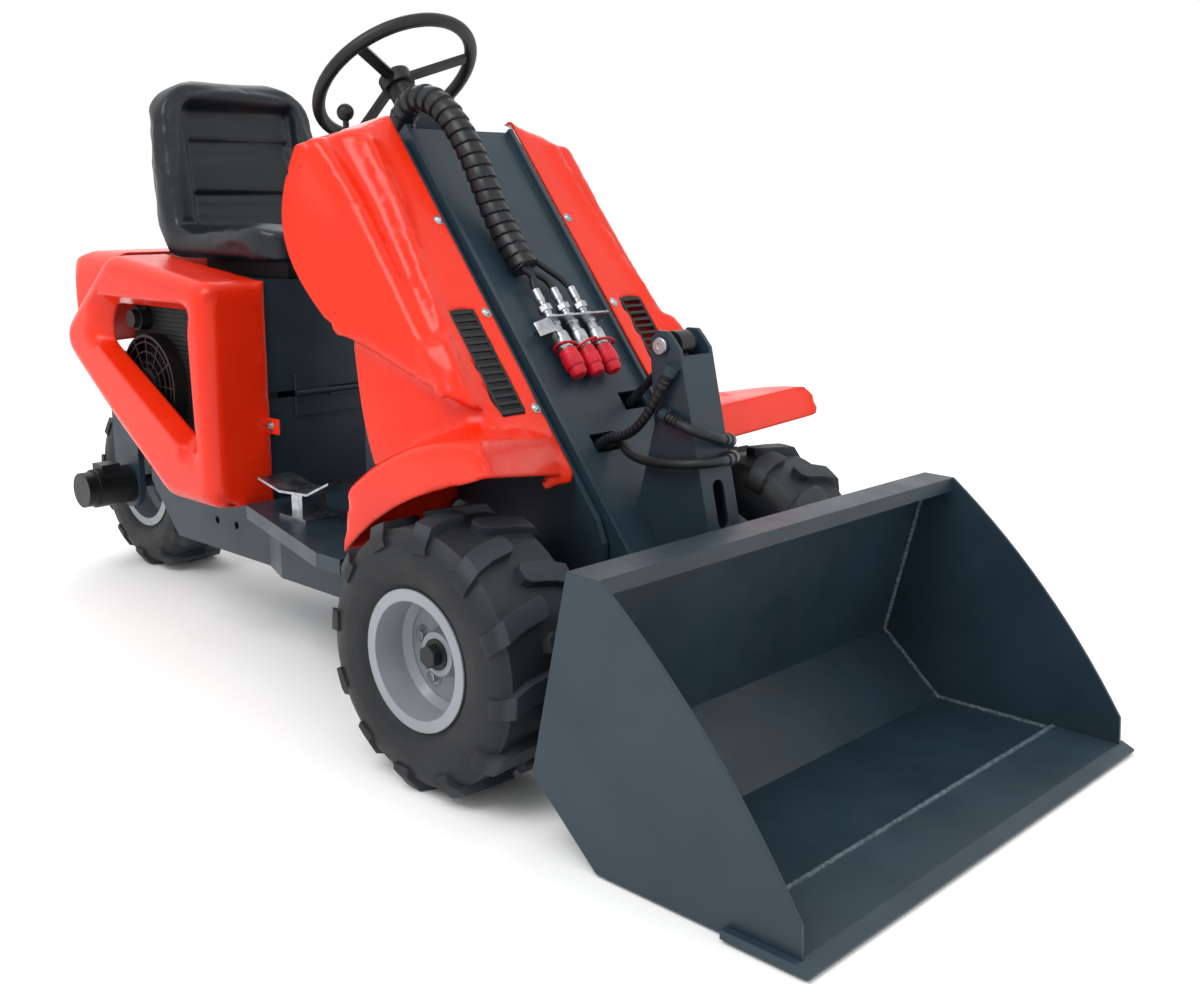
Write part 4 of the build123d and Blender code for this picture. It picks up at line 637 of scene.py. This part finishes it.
@dataclass(frozen=True)
class Hose:
    """Hose along a smooth route, with the ridges of a spiral wrap.

    Attributes:
        name: Name of the piece.
        radius: Outer radius in millimetres.
        wrap_mm: Width of one turn of the wrap.
        lap_mm: Height of the wrap's overlapping edge.
        sides: Flats around the hose.
    """

    name: str
    radius: float
    wrap_mm: float = 20.0
    lap_mm: float = 2.5
    sides: int = 32

    def line(self, route: Sequence[Vector]) -> list[Vector]:
        """Points along the smooth curve whose control points are the route's points."""
        curve = bpy.data.curves.new(self.name, "CURVE")
        curve.dimensions = "3D"
        spline = curve.splines.new("NURBS")
        spline.points.add(len(route) - 1)
        for point, place in zip(spline.points, route):
            point.co = (*place, 1.0)
        spline.order_u = 3
        spline.use_endpoint_u = True
        spline.resolution_u = 40
        holder = bpy.data.objects.new(self.name, curve)
        bpy.context.scene.collection.objects.link(holder)
        mesh = bpy.data.meshes.new_from_object(holder)
        points = [v.co.copy() for v in mesh.vertices]
        bpy.data.objects.remove(holder)
        bpy.data.meshes.remove(mesh)
        return points

    def build(self, route: Sequence[Vector]) -> tuple[bpy.types.Object, list[Vector]]:
        """Makes the hose's closed tube.

        Args:
            route: Control points in metres.

        Returns:
            The tube and the points that it follows.
        """
        path = self.line(route)
        rows: list[Vector] = []
        run = 0.0
        side = (path[1] - path[0]).orthogonal().normalized()
        for k, place in enumerate(path):
            run += (place - path[k - 1]).length / MM if k else 0.0
            ahead = (path[min(k + 1, len(path) - 1)] - path[max(k - 1, 0)]).normalized()
            side = (side - ahead * side.dot(ahead)).normalized()
            up = ahead.cross(side)
            for j in range(self.sides):
                turn = 2 * math.pi * j / self.sides
                share = (run / self.wrap_mm + j / self.sides) % 1.0
                reach = (self.radius - self.lap_mm * (1 - share) ** 1.6) * MM
                rows.append(place + (side * math.cos(turn) + up * math.sin(turn)) * reach)
        faces = [tuple(reversed(range(self.sides)))]
        for k in range(len(path) - 1):
            for j in range(self.sides):
                a, b = k * self.sides + j, k * self.sides + (j + 1) % self.sides
                faces.append((a, b, b + self.sides, a + self.sides))
        faces.append(tuple(range(len(rows) - self.sides, len(rows))))
        mesh = bpy.data.meshes.new(self.name)
        mesh.from_pydata(rows, [], faces)
        tube = bpy.data.objects.new(self.name, mesh)
        bpy.context.scene.collection.objects.link(tube)
        Bench.edit(tube)
        bpy.ops.mesh.normals_make_consistent(inside=False)
        Bench.done()
        Bench.smooth(tube, 50.0)
        return tube, path

    def declare(self, tube: bpy.types.Object, path: Sequence[Vector]) -> None:
        length = sum((b - a).length for a, b in zip(path, path[1:]))
        tuple(path[0])
        [tuple(p) for p in path]


@dataclass
class BoomHydraulics:
    """Hoses, couplings and caps on the boom.

    Attributes:
        face: Height of the boom's face over its pivot line.
        bundle: Sleeved hose bundle.
        tail: Thin hose from the bundle to one coupling.
        tilt: Hose of the tilt cylinder.
        coupling_start: Distance down the boom where the couplings start.
        coupling_length: Length of a coupling.
        coupling_stand: Height of the couplings' axis over the boom's face.
        pitch: Spacing of the couplings.
        mast_half: Half the width of the tilt cylinder's mast.
        port_r: Radius of the mast's hose ports.
        bare_lap: Wrap edge on the hoses that have no wrap.
        wrapped: Numbers of the tilt hoses that are wrapped.
    """

    face: float = 57.0
    bundle: Hose = Hose("hose_bundle_wrap", 27.0, wrap_mm=23.0, lap_mm=4.0, sides=48)
    tail: Hose = Hose("coupling_hose", 6.5, wrap_mm=400.0, lap_mm=0.0, sides=16)
    tilt: Hose = Hose("tilt_hose", 9.0, wrap_mm=11.0, lap_mm=1.1, sides=20)
    coupling_start: float = 335.0
    coupling_length: float = 150.0
    coupling_stand: float = 24.0
    pitch: float = 47.0
    mast_half: float = 44.0
    port_r: float = 13.0
    bare_lap: float = 0.25
    wrapped: tuple[int, ...] = (0, 2)

    def build(self, machine: Machine) -> None:
        """Makes every hose and fitting."""
        self.bundle_hose(machine)
        self.tails(machine)
        self.couplings(machine)
        self.caps(machine)
        self.tilt_hoses(machine)

    def bundle_hose(self, machine: Machine) -> None:
        """Wrapped bundle over the boom's top and down its face."""
        lie = self.face + self.bundle.radius + 0.3
        route = [(-76, -8, -100), (-114, 42, -100), (-100, 102, -98), (-44, 134, -92), (36, 132, -82),
                 (100, 116, -72), (160, lie + 12, -62), (222, lie, -52), (288, lie, -46)]
        tube, path = self.bundle.build([machine.on_boom(*p) for p in route])
        Bench.hand_over(tube, "boom", Finishes.SLEEVE, Slot.SLEEVE, ["hose_bundle"])
        self.bundle.declare(tube, path)

    def tails(self, machine: Machine) -> None:
        """Three thin hoses from the bundle's end to the couplings."""
        out = self.face + self.coupling_stand
        for k, leave in ((-1, 272), (0, 276), (1, 238)):
            y = k * self.pitch
            route = [(leave, out + 4, -46 + 8 * k), (leave + 16, out + 5, -45 + 12 * k),
                     (0.5 * (leave + 340), out + 4, 0.45 * y - 16),
                     (self.coupling_start - 14, out, 0.96 * y), (self.coupling_start + 6, out, y)]
            hose = replace(self.tail, name=f"{self.tail.name}_{k + 2}")
            tube, _ = hose.build([machine.on_boom(*p) for p in route])
            Bench.hand_over(tube, "boom", Finishes.HOSE, Slot.SLEEVE)

    def coupling_places(self, machine: Machine, along: float) -> list[Matrix]:
        """Places of the three couplings at a distance down the boom, pointing down it."""
        out = self.face + self.coupling_stand
        way = machine.on_boom(1, 0, 0) - machine.on_boom(0, 0, 0)
        return [Bench.facing(machine.on_boom(along, out, k * self.pitch), way) for k in (-1, 0, 1)]

    def couplings(self, machine: Machine) -> None:
        """Turned couplings with hexagon nuts in their folded bracket."""
        body = Bench.turned([(0, 0), (8.5, 0), (8.5, 24), (7, 26), (7, 32), (9.5, 34), (9.5, 52), (8, 54),
                             (8, 60), (14, 62), (14, 80), (12, 82), (12, 96), (15.5, 98), (16.5, 102),
                             (16.5, 126), (15.5, 130), (13.5, 132), (13.5, 150), (0, 150)], "coupling")
        nuts = [Bench.hexagon(24, 36, 49, "nut"), Bench.hexagon(27, 64, 78, "nut_2")]
        fitting = Bench.joined([body, *nuts], "coupling")
        row = Bench.copies(fitting, self.coupling_places(machine, self.coupling_start), "quick_couplings")
        Bench.hand_over(row, "boom", Finishes.ZINC, Slot.ZINC, ["couplings"])
        plate = Bench.slab((4, 158, 54), 1.2, "coupling_bracket")
        wing = Bench.slab((30, 34, 4), 1.2, "wing")
        fold = Matrix.Rotation(math.radians(28), 4, "X")
        wing.data.transform(Matrix.Translation(Vector((13, -88, 12)) * MM) @ fold)
        bracket = Bench.joined([plate, wing], "coupling_bracket")
        bracket.data.transform(Matrix.Rotation(machine.BOOM_ANGLE, 4, "Y"))
        middle = self.coupling_start + self.coupling_length / 2
        bracket.data.transform(Matrix.Translation(machine.on_boom(middle, self.face + 27, 0)))
        Bench.hand_over(bracket, "boom", Finishes.ZINC, Slot.ZINC)

    def caps(self, machine: Machine) -> None:
        """Rubber dust caps with their strap loops."""
        cap = Bench.turned([(0, 0), (14, 0), (14, -16), (17.5, -16), (17.5, -4), (19, -2), (19, 18), (17.5, 21),
                            (16, 22), (16, 32), (13, 38), (8, 40), (0, 40)], "dust_cap")
        end = self.coupling_start + self.coupling_length
        row = Bench.copies(cap, self.coupling_places(machine, end), "rubber_dust_caps")
        Bench.hand_over(row, "boom", Finishes.CAP, Slot.CAP, ["dust_caps"])
        places = self.coupling_places(machine, end - 24)
        loops = []
        for place, stretch, lean in zip(places, (1.25, 1.7, 1.5), (0.2, -0.25, 0.1)):
            Bench.deselect()
            bpy.ops.mesh.primitive_torus_add(major_radius=19 * MM, minor_radius=2.4 * MM, major_segments=40,
                                             minor_segments=10)
            loop = bpy.context.object
            Bench.edit(loop)
            bpy.ops.transform.resize(value=(1.0, stretch, 1.0))
            bpy.ops.transform.translate(value=(0, 6 * (stretch - 1) * MM, 0))
            Bench.done()
            loop.data.transform(place @ Matrix.Rotation(lean, 4, "X"))
            loops.append(loop)
        straps = Bench.joined(loops, "cap_straps")
        Bench.smooth(straps)
        Bench.hand_over(straps, "boom", Finishes.CAP, Slot.CAP)

    def tilt_hoses(self, machine: Machine) -> None:
        """Four hoses from the boom's holes to the mast, with their crimped ends."""
        side = -self.mast_half - self.port_r
        hole = self.face - 12
        at, on = machine.at, machine.on_boom
        routes = [
            [on(650, hole, -56), on(652, hole + 40, -56), at(62, side - 4, 560), at(104, side - 6, 592),
             at(130, side - 5, 635), at(150, side + 1, 676)],
            [on(650, hole, -30), on(658, hole + 38, -33), at(60, side + 6, 528), at(112, side - 4, 522),
             at(166, side - 10, 526), at(208, side - 8, 531), at(236, side + 16, 534), at(238, -6, 533),
             at(222, 32, 530)],
            [on(575, hole, 85), on(573, hole + 40, 83), at(16, 72, 654), at(62, 62, 684), at(104, -1 - side, 704)],
            [at(156, side + 1, 603), at(180, side - 5, 598), at(206, side - 6, 590), at(230, side + 16, 579),
             at(231, -6, 569), at(214, 32, 561)]]
        crimps = []
        for k, route in enumerate(routes):
            lap = self.tilt.lap_mm if k in self.wrapped else self.bare_lap
            hose = replace(self.tilt, name=f"{self.tilt.name}_{k + 1}", lap_mm=lap)
            tube, path = hose.build(route)
            Bench.hand_over(tube, "boom", Finishes.HOSE, Slot.SLEEVE, ["tilt_hoses"])
            hose.declare(tube, path)
            ends = [(path[-1], path[-1] - path[-4])]
            if k == 3:
                ends.append((path[0], path[0] - path[3]))
            crimps += [Bench.facing(place, way) for place, way in ends]
        crimp = Bench.turned([(0, -26), (10.4, -26), (10.8, -24), (10.8, -18), (10.2, -17), (10.8, -16),
                              (10.8, -9), (10.2, -8), (10.8, -7), (10.8, -1), (0, -1)], "crimp")
        row = Bench.copies(crimp, crimps, "hose_crimps")
        Bench.hand_over(row, "boom", Finishes.BLACK_STEEL, Slot.BLACK_STEEL)


@dataclass
class DriverSeat:
    """Padded bucket seat.

    Attributes:
        voxel_mm: Size of the remeshed facets.
        inset_mm: How much smaller the start is than the finished pad.
        pressure: Pressure of the stuffing.
        frames: Steps of the simulation.
        cap_mm: Furthest that a point may move.
        channel_z: Heights of the sewn channels across the back.
        channel_mm: Depth and half-width of a channel.
        channel_half: Half the length of a channel.
        lip_x: Where the pan's front lip is.
        top: Height of the back's top edge.
        half: Half the width of the back.
        round_mm: Radius of the back's top corners.
        rounds: Rounds of smoothing before and after the stuffing.
        back_x: Rearmost place that the sewing reaches.
        back_low: Lowest height that the sewing reaches.
        dip: Depth, half-width and place across of the dip in the front lip.
    """

    voxel_mm: float = 7.0
    inset_mm: float = 4.0
    pressure: float = 2.0
    frames: int = 20
    cap_mm: float = 5.0
    channel_z: tuple[float, ...] = (1088.0, 972.0)
    channel_mm: tuple[float, float] = (9.0, 7.0)
    channel_half: float = 142.0
    lip_x: float = -800.0
    top: float = 1237.0
    half: float = 220.0
    round_mm: float = 95.0
    rounds: tuple[int, int] = (24, 5)
    back_x: float = -1245.0
    back_low: float = 930.0
    dip: Point = (15.0, 32.0, -10.0)

    def build(self, machine: Machine) -> None:
        """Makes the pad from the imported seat's shape."""
        pad = Bench.copy_of("seat", "driver_seat_pad")
        Bench.edit(pad)
        bpy.ops.transform.shrink_fatten(value=-self.inset_mm * MM)
        Bench.done()
        pad.data.remesh_voxel_size = self.voxel_mm * MM
        bpy.ops.object.voxel_remesh()
        self.soften(pad, self.rounds[0])
        self.stuff(pad)
        self.soften(pad, self.rounds[1])
        self.sew(pad, machine)
        Bench.smooth(pad, 80.0)
        Bench.hand_over(pad, "seat_lid", Finishes.VINYL, Slot.SEAT, ["seat"])

    def soften(self, pad: bpy.types.Object, rounds: int) -> None:
        """Rounds the pad's edges."""
        Bench.activate(pad)
        smooth = pad.modifiers.new("soften", "SMOOTH")
        smooth.factor = 0.5
        smooth.iterations = rounds
        bpy.ops.object.modifier_apply(modifier=smooth.name)

    def stuff(self, pad: bpy.types.Object) -> None:
        """Swells the cover under the stuffing's pressure, with each point's travel capped."""
        start = [v.co.copy() for v in pad.data.vertices]
        Bench.activate(pad)
        cloth = pad.modifiers.new("stuffing", "CLOTH")
        cloth.settings.use_pressure = True
        cloth.settings.uniform_pressure_force = self.pressure
        cloth.settings.effector_weights.gravity = 0.0
        scene = bpy.context.scene
        for step in range(1, self.frames + 1):
            scene.frame_set(step)
        bpy.ops.object.modifier_apply(modifier=cloth.name)
        scene.frame_set(1)
        cap = self.cap_mm * MM
        for vertex, before in zip(pad.data.vertices, start):
            move = vertex.co - before
            if move.length > cap:
                vertex.co = before + move * (cap / move.length)

    def sew(self, pad: bpy.types.Object, machine: Machine) -> None:
        """Presses the sewn channels into the back and the dip into the front lip."""
        deep, wide = self.channel_mm
        dip, dip_half, dip_y = self.dip
        face_x = machine.at(self.back_x, 0, 0).x
        lip_x = machine.at(self.lip_x, 0, 0).x
        for vertex in pad.data.vertices:
            rise = min(self.round_mm, max(0.0, vertex.co.z / MM - self.top + self.round_mm))
            inward = self.round_mm - math.sqrt(self.round_mm ** 2 - rise ** 2)
            vertex.co.y *= 1 - inward / self.half
            x, y, z = vertex.co.x, vertex.co.y / MM, vertex.co.z / MM
            if vertex.normal.x > 0.3 and x > face_x and z > self.back_low:
                fade = min(1.0, max(0.0, (self.channel_half - abs(y)) / 10))
                for height in self.channel_z:
                    gap = z - height
                    press = math.exp(-(gap / wide) ** 2) + 0.45 * math.exp(-((gap + 22) / 16) ** 2)
                    vertex.co.x -= deep * fade * press * MM
            if x > lip_x - 0.06 and vertex.normal.z > 0.2:
                vertex.co.z -= dip * math.exp(-((y - dip_y) / dip_half) ** 2) * MM


@dataclass
class Bodywork:
    """Moulded shells and the other rounded pieces, shaded smooth, with their fasteners.

    Attributes:
        rounded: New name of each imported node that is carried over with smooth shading.
        panel_bolts: Distances down the boom of the bolts beside it.
        panel_out: Height of the front panels over the boom's pivot line.
        panel_y: Distance of those bolts from the middle plane.
        mast_pin: End of the pin through the mast's ears on the left.
        tab: Middle of the left tab; the right one mirrors it.
        tab_size: Lengths of a tab along X, Y and Z.
        tab_bolt_x: Place of a tab's bolt.
        ridges: Height, width and line of each ridge on the left cowl; the right one mirrors them.
        ridge_zone: Least distance from the middle plane and least height that the ridges reach.
        facet: Longest facet edge of the moulded shells.
        rounds: Rounds of smoothing over their bends.
    """

    rounded: dict[str, str] = field(default_factory=lambda: {
        "front_shell_left": "front_cowl_left", "front_shell_right": "front_cowl_right",
        "rear_shell_left": "rear_cowl_left", "rear_shell_right": "rear_cowl_right", "rear_hood": "tail_hood",
        "steering_wheel": "hand_wheel_ring", "levers": "control_levers", "tilt_barrel": "tilt_cylinder",
        "tilt_rod": "tilt_piston", "lift_barrel": "lift_cylinder", "lift_rod": "lift_piston",
        "rear_motor": "tail_drive_motor", "cooler_fan": "fan_guard", "air_stub": "intake_stub",
        "steering_column": "column_tube", "front_rim_left": "wheel_left", "front_rim_right": "wheel_right",
        "rear_rim": "wheel_tail", "front_tyre_left": "tyre_left", "front_tyre_right": "tyre_right",
        "rear_tyre": "tyre_tail"})
    panel_bolts: tuple[float, ...] = (157.0, 361.0, 564.0)
    panel_out: float = 60.0
    panel_y: float = 171.0
    mast_pin: Point = (126.0, 46.5, 723.0)
    tab: Point = (-780.0, 232.0, 498.0)
    tab_size: Point = (44.0, 6.0, 34.0)
    tab_bolt_x: float = -786.0
    ridges: tuple[tuple[float, float, tuple[Point, ...]], ...] = (
        (13.0, 20.0, ((-464, 321, 1068), (-383, 309, 977), (-272, 312, 841), (-166, 322, 717),
                      (-96, 329, 635))),
        (12.0, 18.0, ((-413, 242, 1064), (-328, 249, 956), (-238, 272, 841), (-167, 291, 750),
                      (-112, 307, 677))),
        (-13.0, 24.0, ((-440, 283, 1062), (-356, 280, 965), (-255, 292, 841), (-175, 306, 742))),
        (8.0, 18.0, ((-149, 301, 722), (-87, 305, 652), (-24, 310, 588))))
    ridge_zone: tuple[float, float] = (190.0, 540.0)
    facet: float = 17.0
    rounds: int = 14

    def build(self, machine: Machine) -> None:
        """Dresses the shells and sets their fasteners."""
        slots = {part["node"]: part["material_slot"] for part in frame["record"]["subparts"]}
        for node, name in self.rounded.items():
            piece = Bench.copy_of(node, name)
            slot = Slot(slots[node])
            if slot is Slot.SHELL:
                Bench.fair(piece, self.facet, self.rounds)
            if node.startswith("front_shell"):
                self.crease(piece, machine, 1 if node.endswith("left") else -1)
            Bench.smooth(piece, 38.0)
            finish = Finishes.TYRE_TAIL if node == "rear_tyre" else NODE_FINISH[slot.value]
            Bench.hand_over(piece, body_of(frame["nodes"][node])[0], finish, slot, [node])
        self.bolts(machine)
        self.tabs(machine)
        self.pin_heads(machine)

    def crease(self, piece: bpy.types.Object, machine: Machine, side: int) -> None:
        """Raises the long ridges of a front cowl and sinks the hollow between them.

        Args:
            piece: The cowl.
            machine: Places on the machine.
            side: 1 for the left cowl, -1 for the right.
        """
        way = Vector((0.6, 0.5 * side, 0.62)).normalized()
        routes = [(height, width, [machine.at(x, y * side, z) for x, y, z in line])
                  for height, width, line in self.ridges]
        for vertex in piece.data.vertices:
            place = vertex.co.copy()
            if abs(place.y) < self.ridge_zone[0] * MM or place.z < self.ridge_zone[1] * MM:
                continue
            for height, width, route in routes:
                near = min(self.gap(place, a, b) for a, b in zip(route, route[1:])) / (width * MM)
                vertex.co += way * (height * MM * math.exp(-near * near))

    @staticmethod
    def gap(point: Vector, a: Vector, b: Vector) -> float:
        """Distance of a point from a straight run between two others."""
        share = max(0.0, min(1.0, (point - a).dot(b - a) / (b - a).length_squared))
        return (point - a.lerp(b, share)).length

    def bolts(self, machine: Machine) -> None:
        """Button-head bolts along the front panels."""
        button = Bench.turned([(0, 0), (10, 0), (10, 1.2), (7.5, 1.6), (6.6, 3.6), (4.2, 5.2), (2.2, 5.4),
                               (2.0, 4.0), (0, 4.0)], "button_bolt", 20)
        out = machine.on_boom(0, 1, 0) - machine.on_boom(0, 0, 0)
        places = [Bench.facing(machine.on_boom(along, self.panel_out, y), out)
                  for along in self.panel_bolts for y in (-self.panel_y, self.panel_y)]
        row = Bench.copies(button, places, "panel_bolts")
        Bench.hand_over(row, "chassis", Finishes.ZINC, Slot.ZINC)

    def pin_heads(self, machine: Machine) -> None:
        """Bright heads of the pin through the mast's ears."""
        head = Bench.turned([(0, 0), (15, 0), (15, 5), (13.5, 6.5), (5, 6.5), (4, 5.5), (0, 5.5)], "pin_head", 24)
        x, half, z = self.mast_pin
        places = [Bench.facing(machine.at(x, y, z), Vector((0, y, 0))) for y in (-half, half)]
        row = Bench.copies(head, places, "mast_pin_heads")
        Bench.hand_over(row, "boom", Finishes.ZINC, Slot.ZINC)

    def tabs(self, machine: Machine) -> None:
        """Moulded tabs at the front of the rear shells, with their bolts."""
        x, half, z = self.tab
        tab = Bench.slab(self.tab_size, 2.5, "tab")
        places = [Matrix.Translation(machine.at(x, y, z)) for y in (-half, half)]
        row = Bench.copies(tab, places, "shell_tabs")
        Bench.hand_over(row, "chassis", Finishes.SHELL, Slot.SHELL)
        bolt = Bench.bolt(13, "tab_bolt")
        face = half + self.tab_size[1] / 2
        places = [Bench.facing(machine.at(self.tab_bolt_x, y, z), Vector((0, y, 0))) for y in (-face, face)]
        heads = Bench.copies(bolt, places, "tab_bolts")
        Bench.hand_over(heads, "chassis", Finishes.ZINC, Slot.ZINC)


@dataclass
class Wheels:
    """Bolts and hub nuts of the wheels.

    Attributes:
        track: Distance of the front wheels from the middle plane.
        disc: Distance of the disc's outer face from the wheel's middle.
        hub: Distance of the hub's end from the wheel's middle.
        circle: Radius of the bolt circle.
        bolts: Bolts on each wheel.
        first_turn: Where the first bolt sits, as a share of the bolts' spacing.
        bolt_across: Width of a wheel bolt across its flats.
        hub_across: Width of the hub nut across its flats.
        axle_z: Height of the axles.
        tail_x: Place of the rear axle.
    """

    track: float = 409.0
    disc: float = 22.0
    hub: float = 47.0
    circle: float = 63.0
    bolts: int = 5
    first_turn: float = 0.3
    bolt_across: float = 17.0
    hub_across: float = 36.0
    axle_z: float = 236.0
    tail_x: float = -1610.0

    def build(self, machine: Machine) -> None:
        """Dresses the three wheels."""
        for body, x, y, side in (("front_wheel_left", 0.0, self.track, 1),
                                 ("front_wheel_right", 0.0, -self.track, -1),
                                 ("rear_wheel", self.tail_x, 0.0, -1)):
            self.dress(machine, body, x, y, side)

    def dress(self, machine: Machine, body: str, x: float, y: float, side: int) -> None:
        """Sets one wheel's bolts and its hub nut."""
        way = Vector((0, side, 0))
        places = []
        for k in range(self.bolts):
            turn = 2 * math.pi * (k + self.first_turn) / self.bolts
            centre = machine.at(x + self.circle * math.cos(turn), y + side * self.disc,
                                self.axle_z + self.circle * math.sin(turn))
            places.append(Bench.facing(centre, way))
        row = Bench.copies(Bench.bolt(self.bolt_across, "wheel_bolt"), places, body + "_bolts")
        Bench.hand_over(row, body, Finishes.ZINC, Slot.ZINC)
        collar = Bench.turned([(0, 0), (27, 0), (27, 3), (24, 4), (0, 4)], "hub_washer", 28)
        nut = Bench.joined([collar, Bench.hexagon(self.hub_across, 3, 22, "hub_hexagon")], body + "_hub_nut")
        nut.data.transform(Bench.facing(machine.at(x, y + side * self.hub, self.axle_z), way))
        Bench.hand_over(nut, body, Finishes.BLACK_STEEL, Slot.BLACK_STEEL)


@dataclass
class BucketWelds:
    """Weld beads in the bucket's corners.

    Attributes:
        corner: Inner corner line of each cheek in side view.
        cheek: Distance of the cheeks' inner faces from the middle plane.
        pitch: Spacing of the ripples.
        ripple: Radius of one ripple.
        squash: How far a ripple is flattened across and along the bead.
        blade_x: Place of the blade's back edge.
        blade_z: Height of the bead behind the blade.
    """

    corner: tuple[tuple[float, float], ...] = ((343.0, 430.0), (277.0, 126.0), (405.0, 13.0),
                                               (638.0, 13.0))
    cheek: float = 493.0
    pitch: float = 5.5
    ripple: float = 6.5
    squash: Point = (0.9, 0.9, 0.62)
    blade_x: float = 639.0
    blade_z: float = 19.0

    def build(self, machine: Machine) -> None:
        """Lays the ripples along the corners and behind the blade."""
        Bench.deselect()
        bpy.ops.mesh.primitive_uv_sphere_add(segments=8, ring_count=5, radius=self.ripple * MM)
        drop = bpy.context.object
        Bench.smooth(drop, 60.0)
        places = []
        for y in (-self.cheek, self.cheek):
            for a, b in zip(self.corner, self.corner[1:]):
                places += self.ripples(machine, (a[0], y, a[1]), (b[0], y, b[1]))
        places += self.ripples(machine, (self.blade_x, -self.cheek, self.blade_z),
                               (self.blade_x, self.cheek, self.blade_z))
        row = Bench.copies(drop, places, "bucket_weld_beads")
        Bench.hand_over(row, "bucket", Finishes.WELD, Slot.STEEL)

    def ripples(self, machine: Machine, start: Point, end: Point) -> list[Matrix]:
        """Places of one bead's ripples."""
        a, b = machine.at(*start), machine.at(*end)
        count = int((b - a).length / (self.pitch * MM))
        squash = Matrix.Diagonal((*self.squash, 1.0))
        return [Bench.facing(a.lerp(b, (k + 0.5) / count), b - a) @ squash for k in range(count)]


@dataclass
class Studio:
    """Camera, lights and floor."""

    camera_mm: Point = (1605.8, -1824.8, 973.6)
    yaw_deg: float = 135.06
    pitch_deg: float = 14.33
    focal_px: float = 1340.3
    centre_px: tuple[float, float] = (536.4, 537.4)
    image_px: tuple[float, float] = (1200.0, 1000.0)
    sensor_mm: float = 36.0
    floor_m: float = 40.0

    def build(self, machine: Machine) -> None:
        """Sets up the camera, the lights and the floor."""
        self.camera(machine)
        self.lights()
        self.floor()

    def camera(self, machine: Machine) -> None:
        """Camera at the photograph's place, with its framing as a small shift."""
        lens = bpy.data.cameras.new("camera")
        width, height = self.image_px
        lens.sensor_fit = "HORIZONTAL"
        lens.sensor_width = self.sensor_mm
        lens.lens = self.focal_px / width * self.sensor_mm
        lens.shift_x = (width / 2 - self.centre_px[0]) / width
        lens.shift_y = (self.centre_px[1] - height / 2) / width
        lens.dof.use_dof = False
        camera = bpy.data.objects.new("camera", lens)
        camera.location = machine.at(*self.camera_mm)
        camera.rotation_euler = (math.radians(90 - self.pitch_deg), 0, math.radians(self.yaw_deg - 90))
        bpy.context.scene.collection.objects.link(camera)
        bpy.context.scene.camera = camera

    def lights(self) -> None:
        """Large soft lights above and around, over a pale surround."""
        world = bpy.data.worlds.new("surround")
        world.use_nodes = True
        world.node_tree.nodes["Background"].inputs["Color"].default_value = linear("#FFFFFF")
        world.node_tree.nodes["Background"].inputs["Strength"].default_value = 1.0
        bpy.context.scene.world = world
        for name, place, size, power in (("key", (0.6, -3.2, 4.4), 2.6, 120.0),
                                         ("front", (4.4, 0.6, 3.4), 2.2, 22.0),
                                         ("back", (-3.0, 2.8, 3.6), 3.0, 40.0)):
            lamp = bpy.data.lights.new(name, "AREA")
            lamp.energy = power
            lamp.size = size
            light = bpy.data.objects.new(name, lamp)
            light.location = place
            aim = Vector((0.0, 0.0, 0.5)) - Vector(place)
            light.rotation_euler = aim.to_track_quat("-Z", "Y").to_euler()
            bpy.context.scene.collection.objects.link(light)
        bpy.context.scene.view_settings.view_transform = "Standard"

    def floor(self) -> None:
        """Pale floor under the wheels."""
        Bench.deselect()
        bpy.ops.mesh.primitive_plane_add(size=self.floor_m, location=(0, 0, 0))
        floor = bpy.context.object
        floor.name = "floor"
        floor.data.materials.append(Finishes.FLOOR.material())


def dress_nodes() -> None:
    """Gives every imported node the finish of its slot."""
    for part in frame["record"]["subparts"]:
        node = frame["nodes"][part["node"]]
        finish = NODE_FINISH[part["material_slot"]]
        node.data.materials.clear()
        node.data.materials.append(finish.material())
        LOG.info("%s in %s", part["node"], finish.name)


def main() -> None:
    """Builds the machine's looks in order."""
    logging.basicConfig(level=logging.INFO, format="%(message)s")
    machine = Machine()
    Studio().build(machine)
    dress_nodes()
    BoomHydraulics().build(machine)
    DriverSeat().build(machine)
    Bodywork().build(machine)
    Wheels().build(machine)
    BucketWelds().build(machine)


if __name__ == "__main__":
    main()
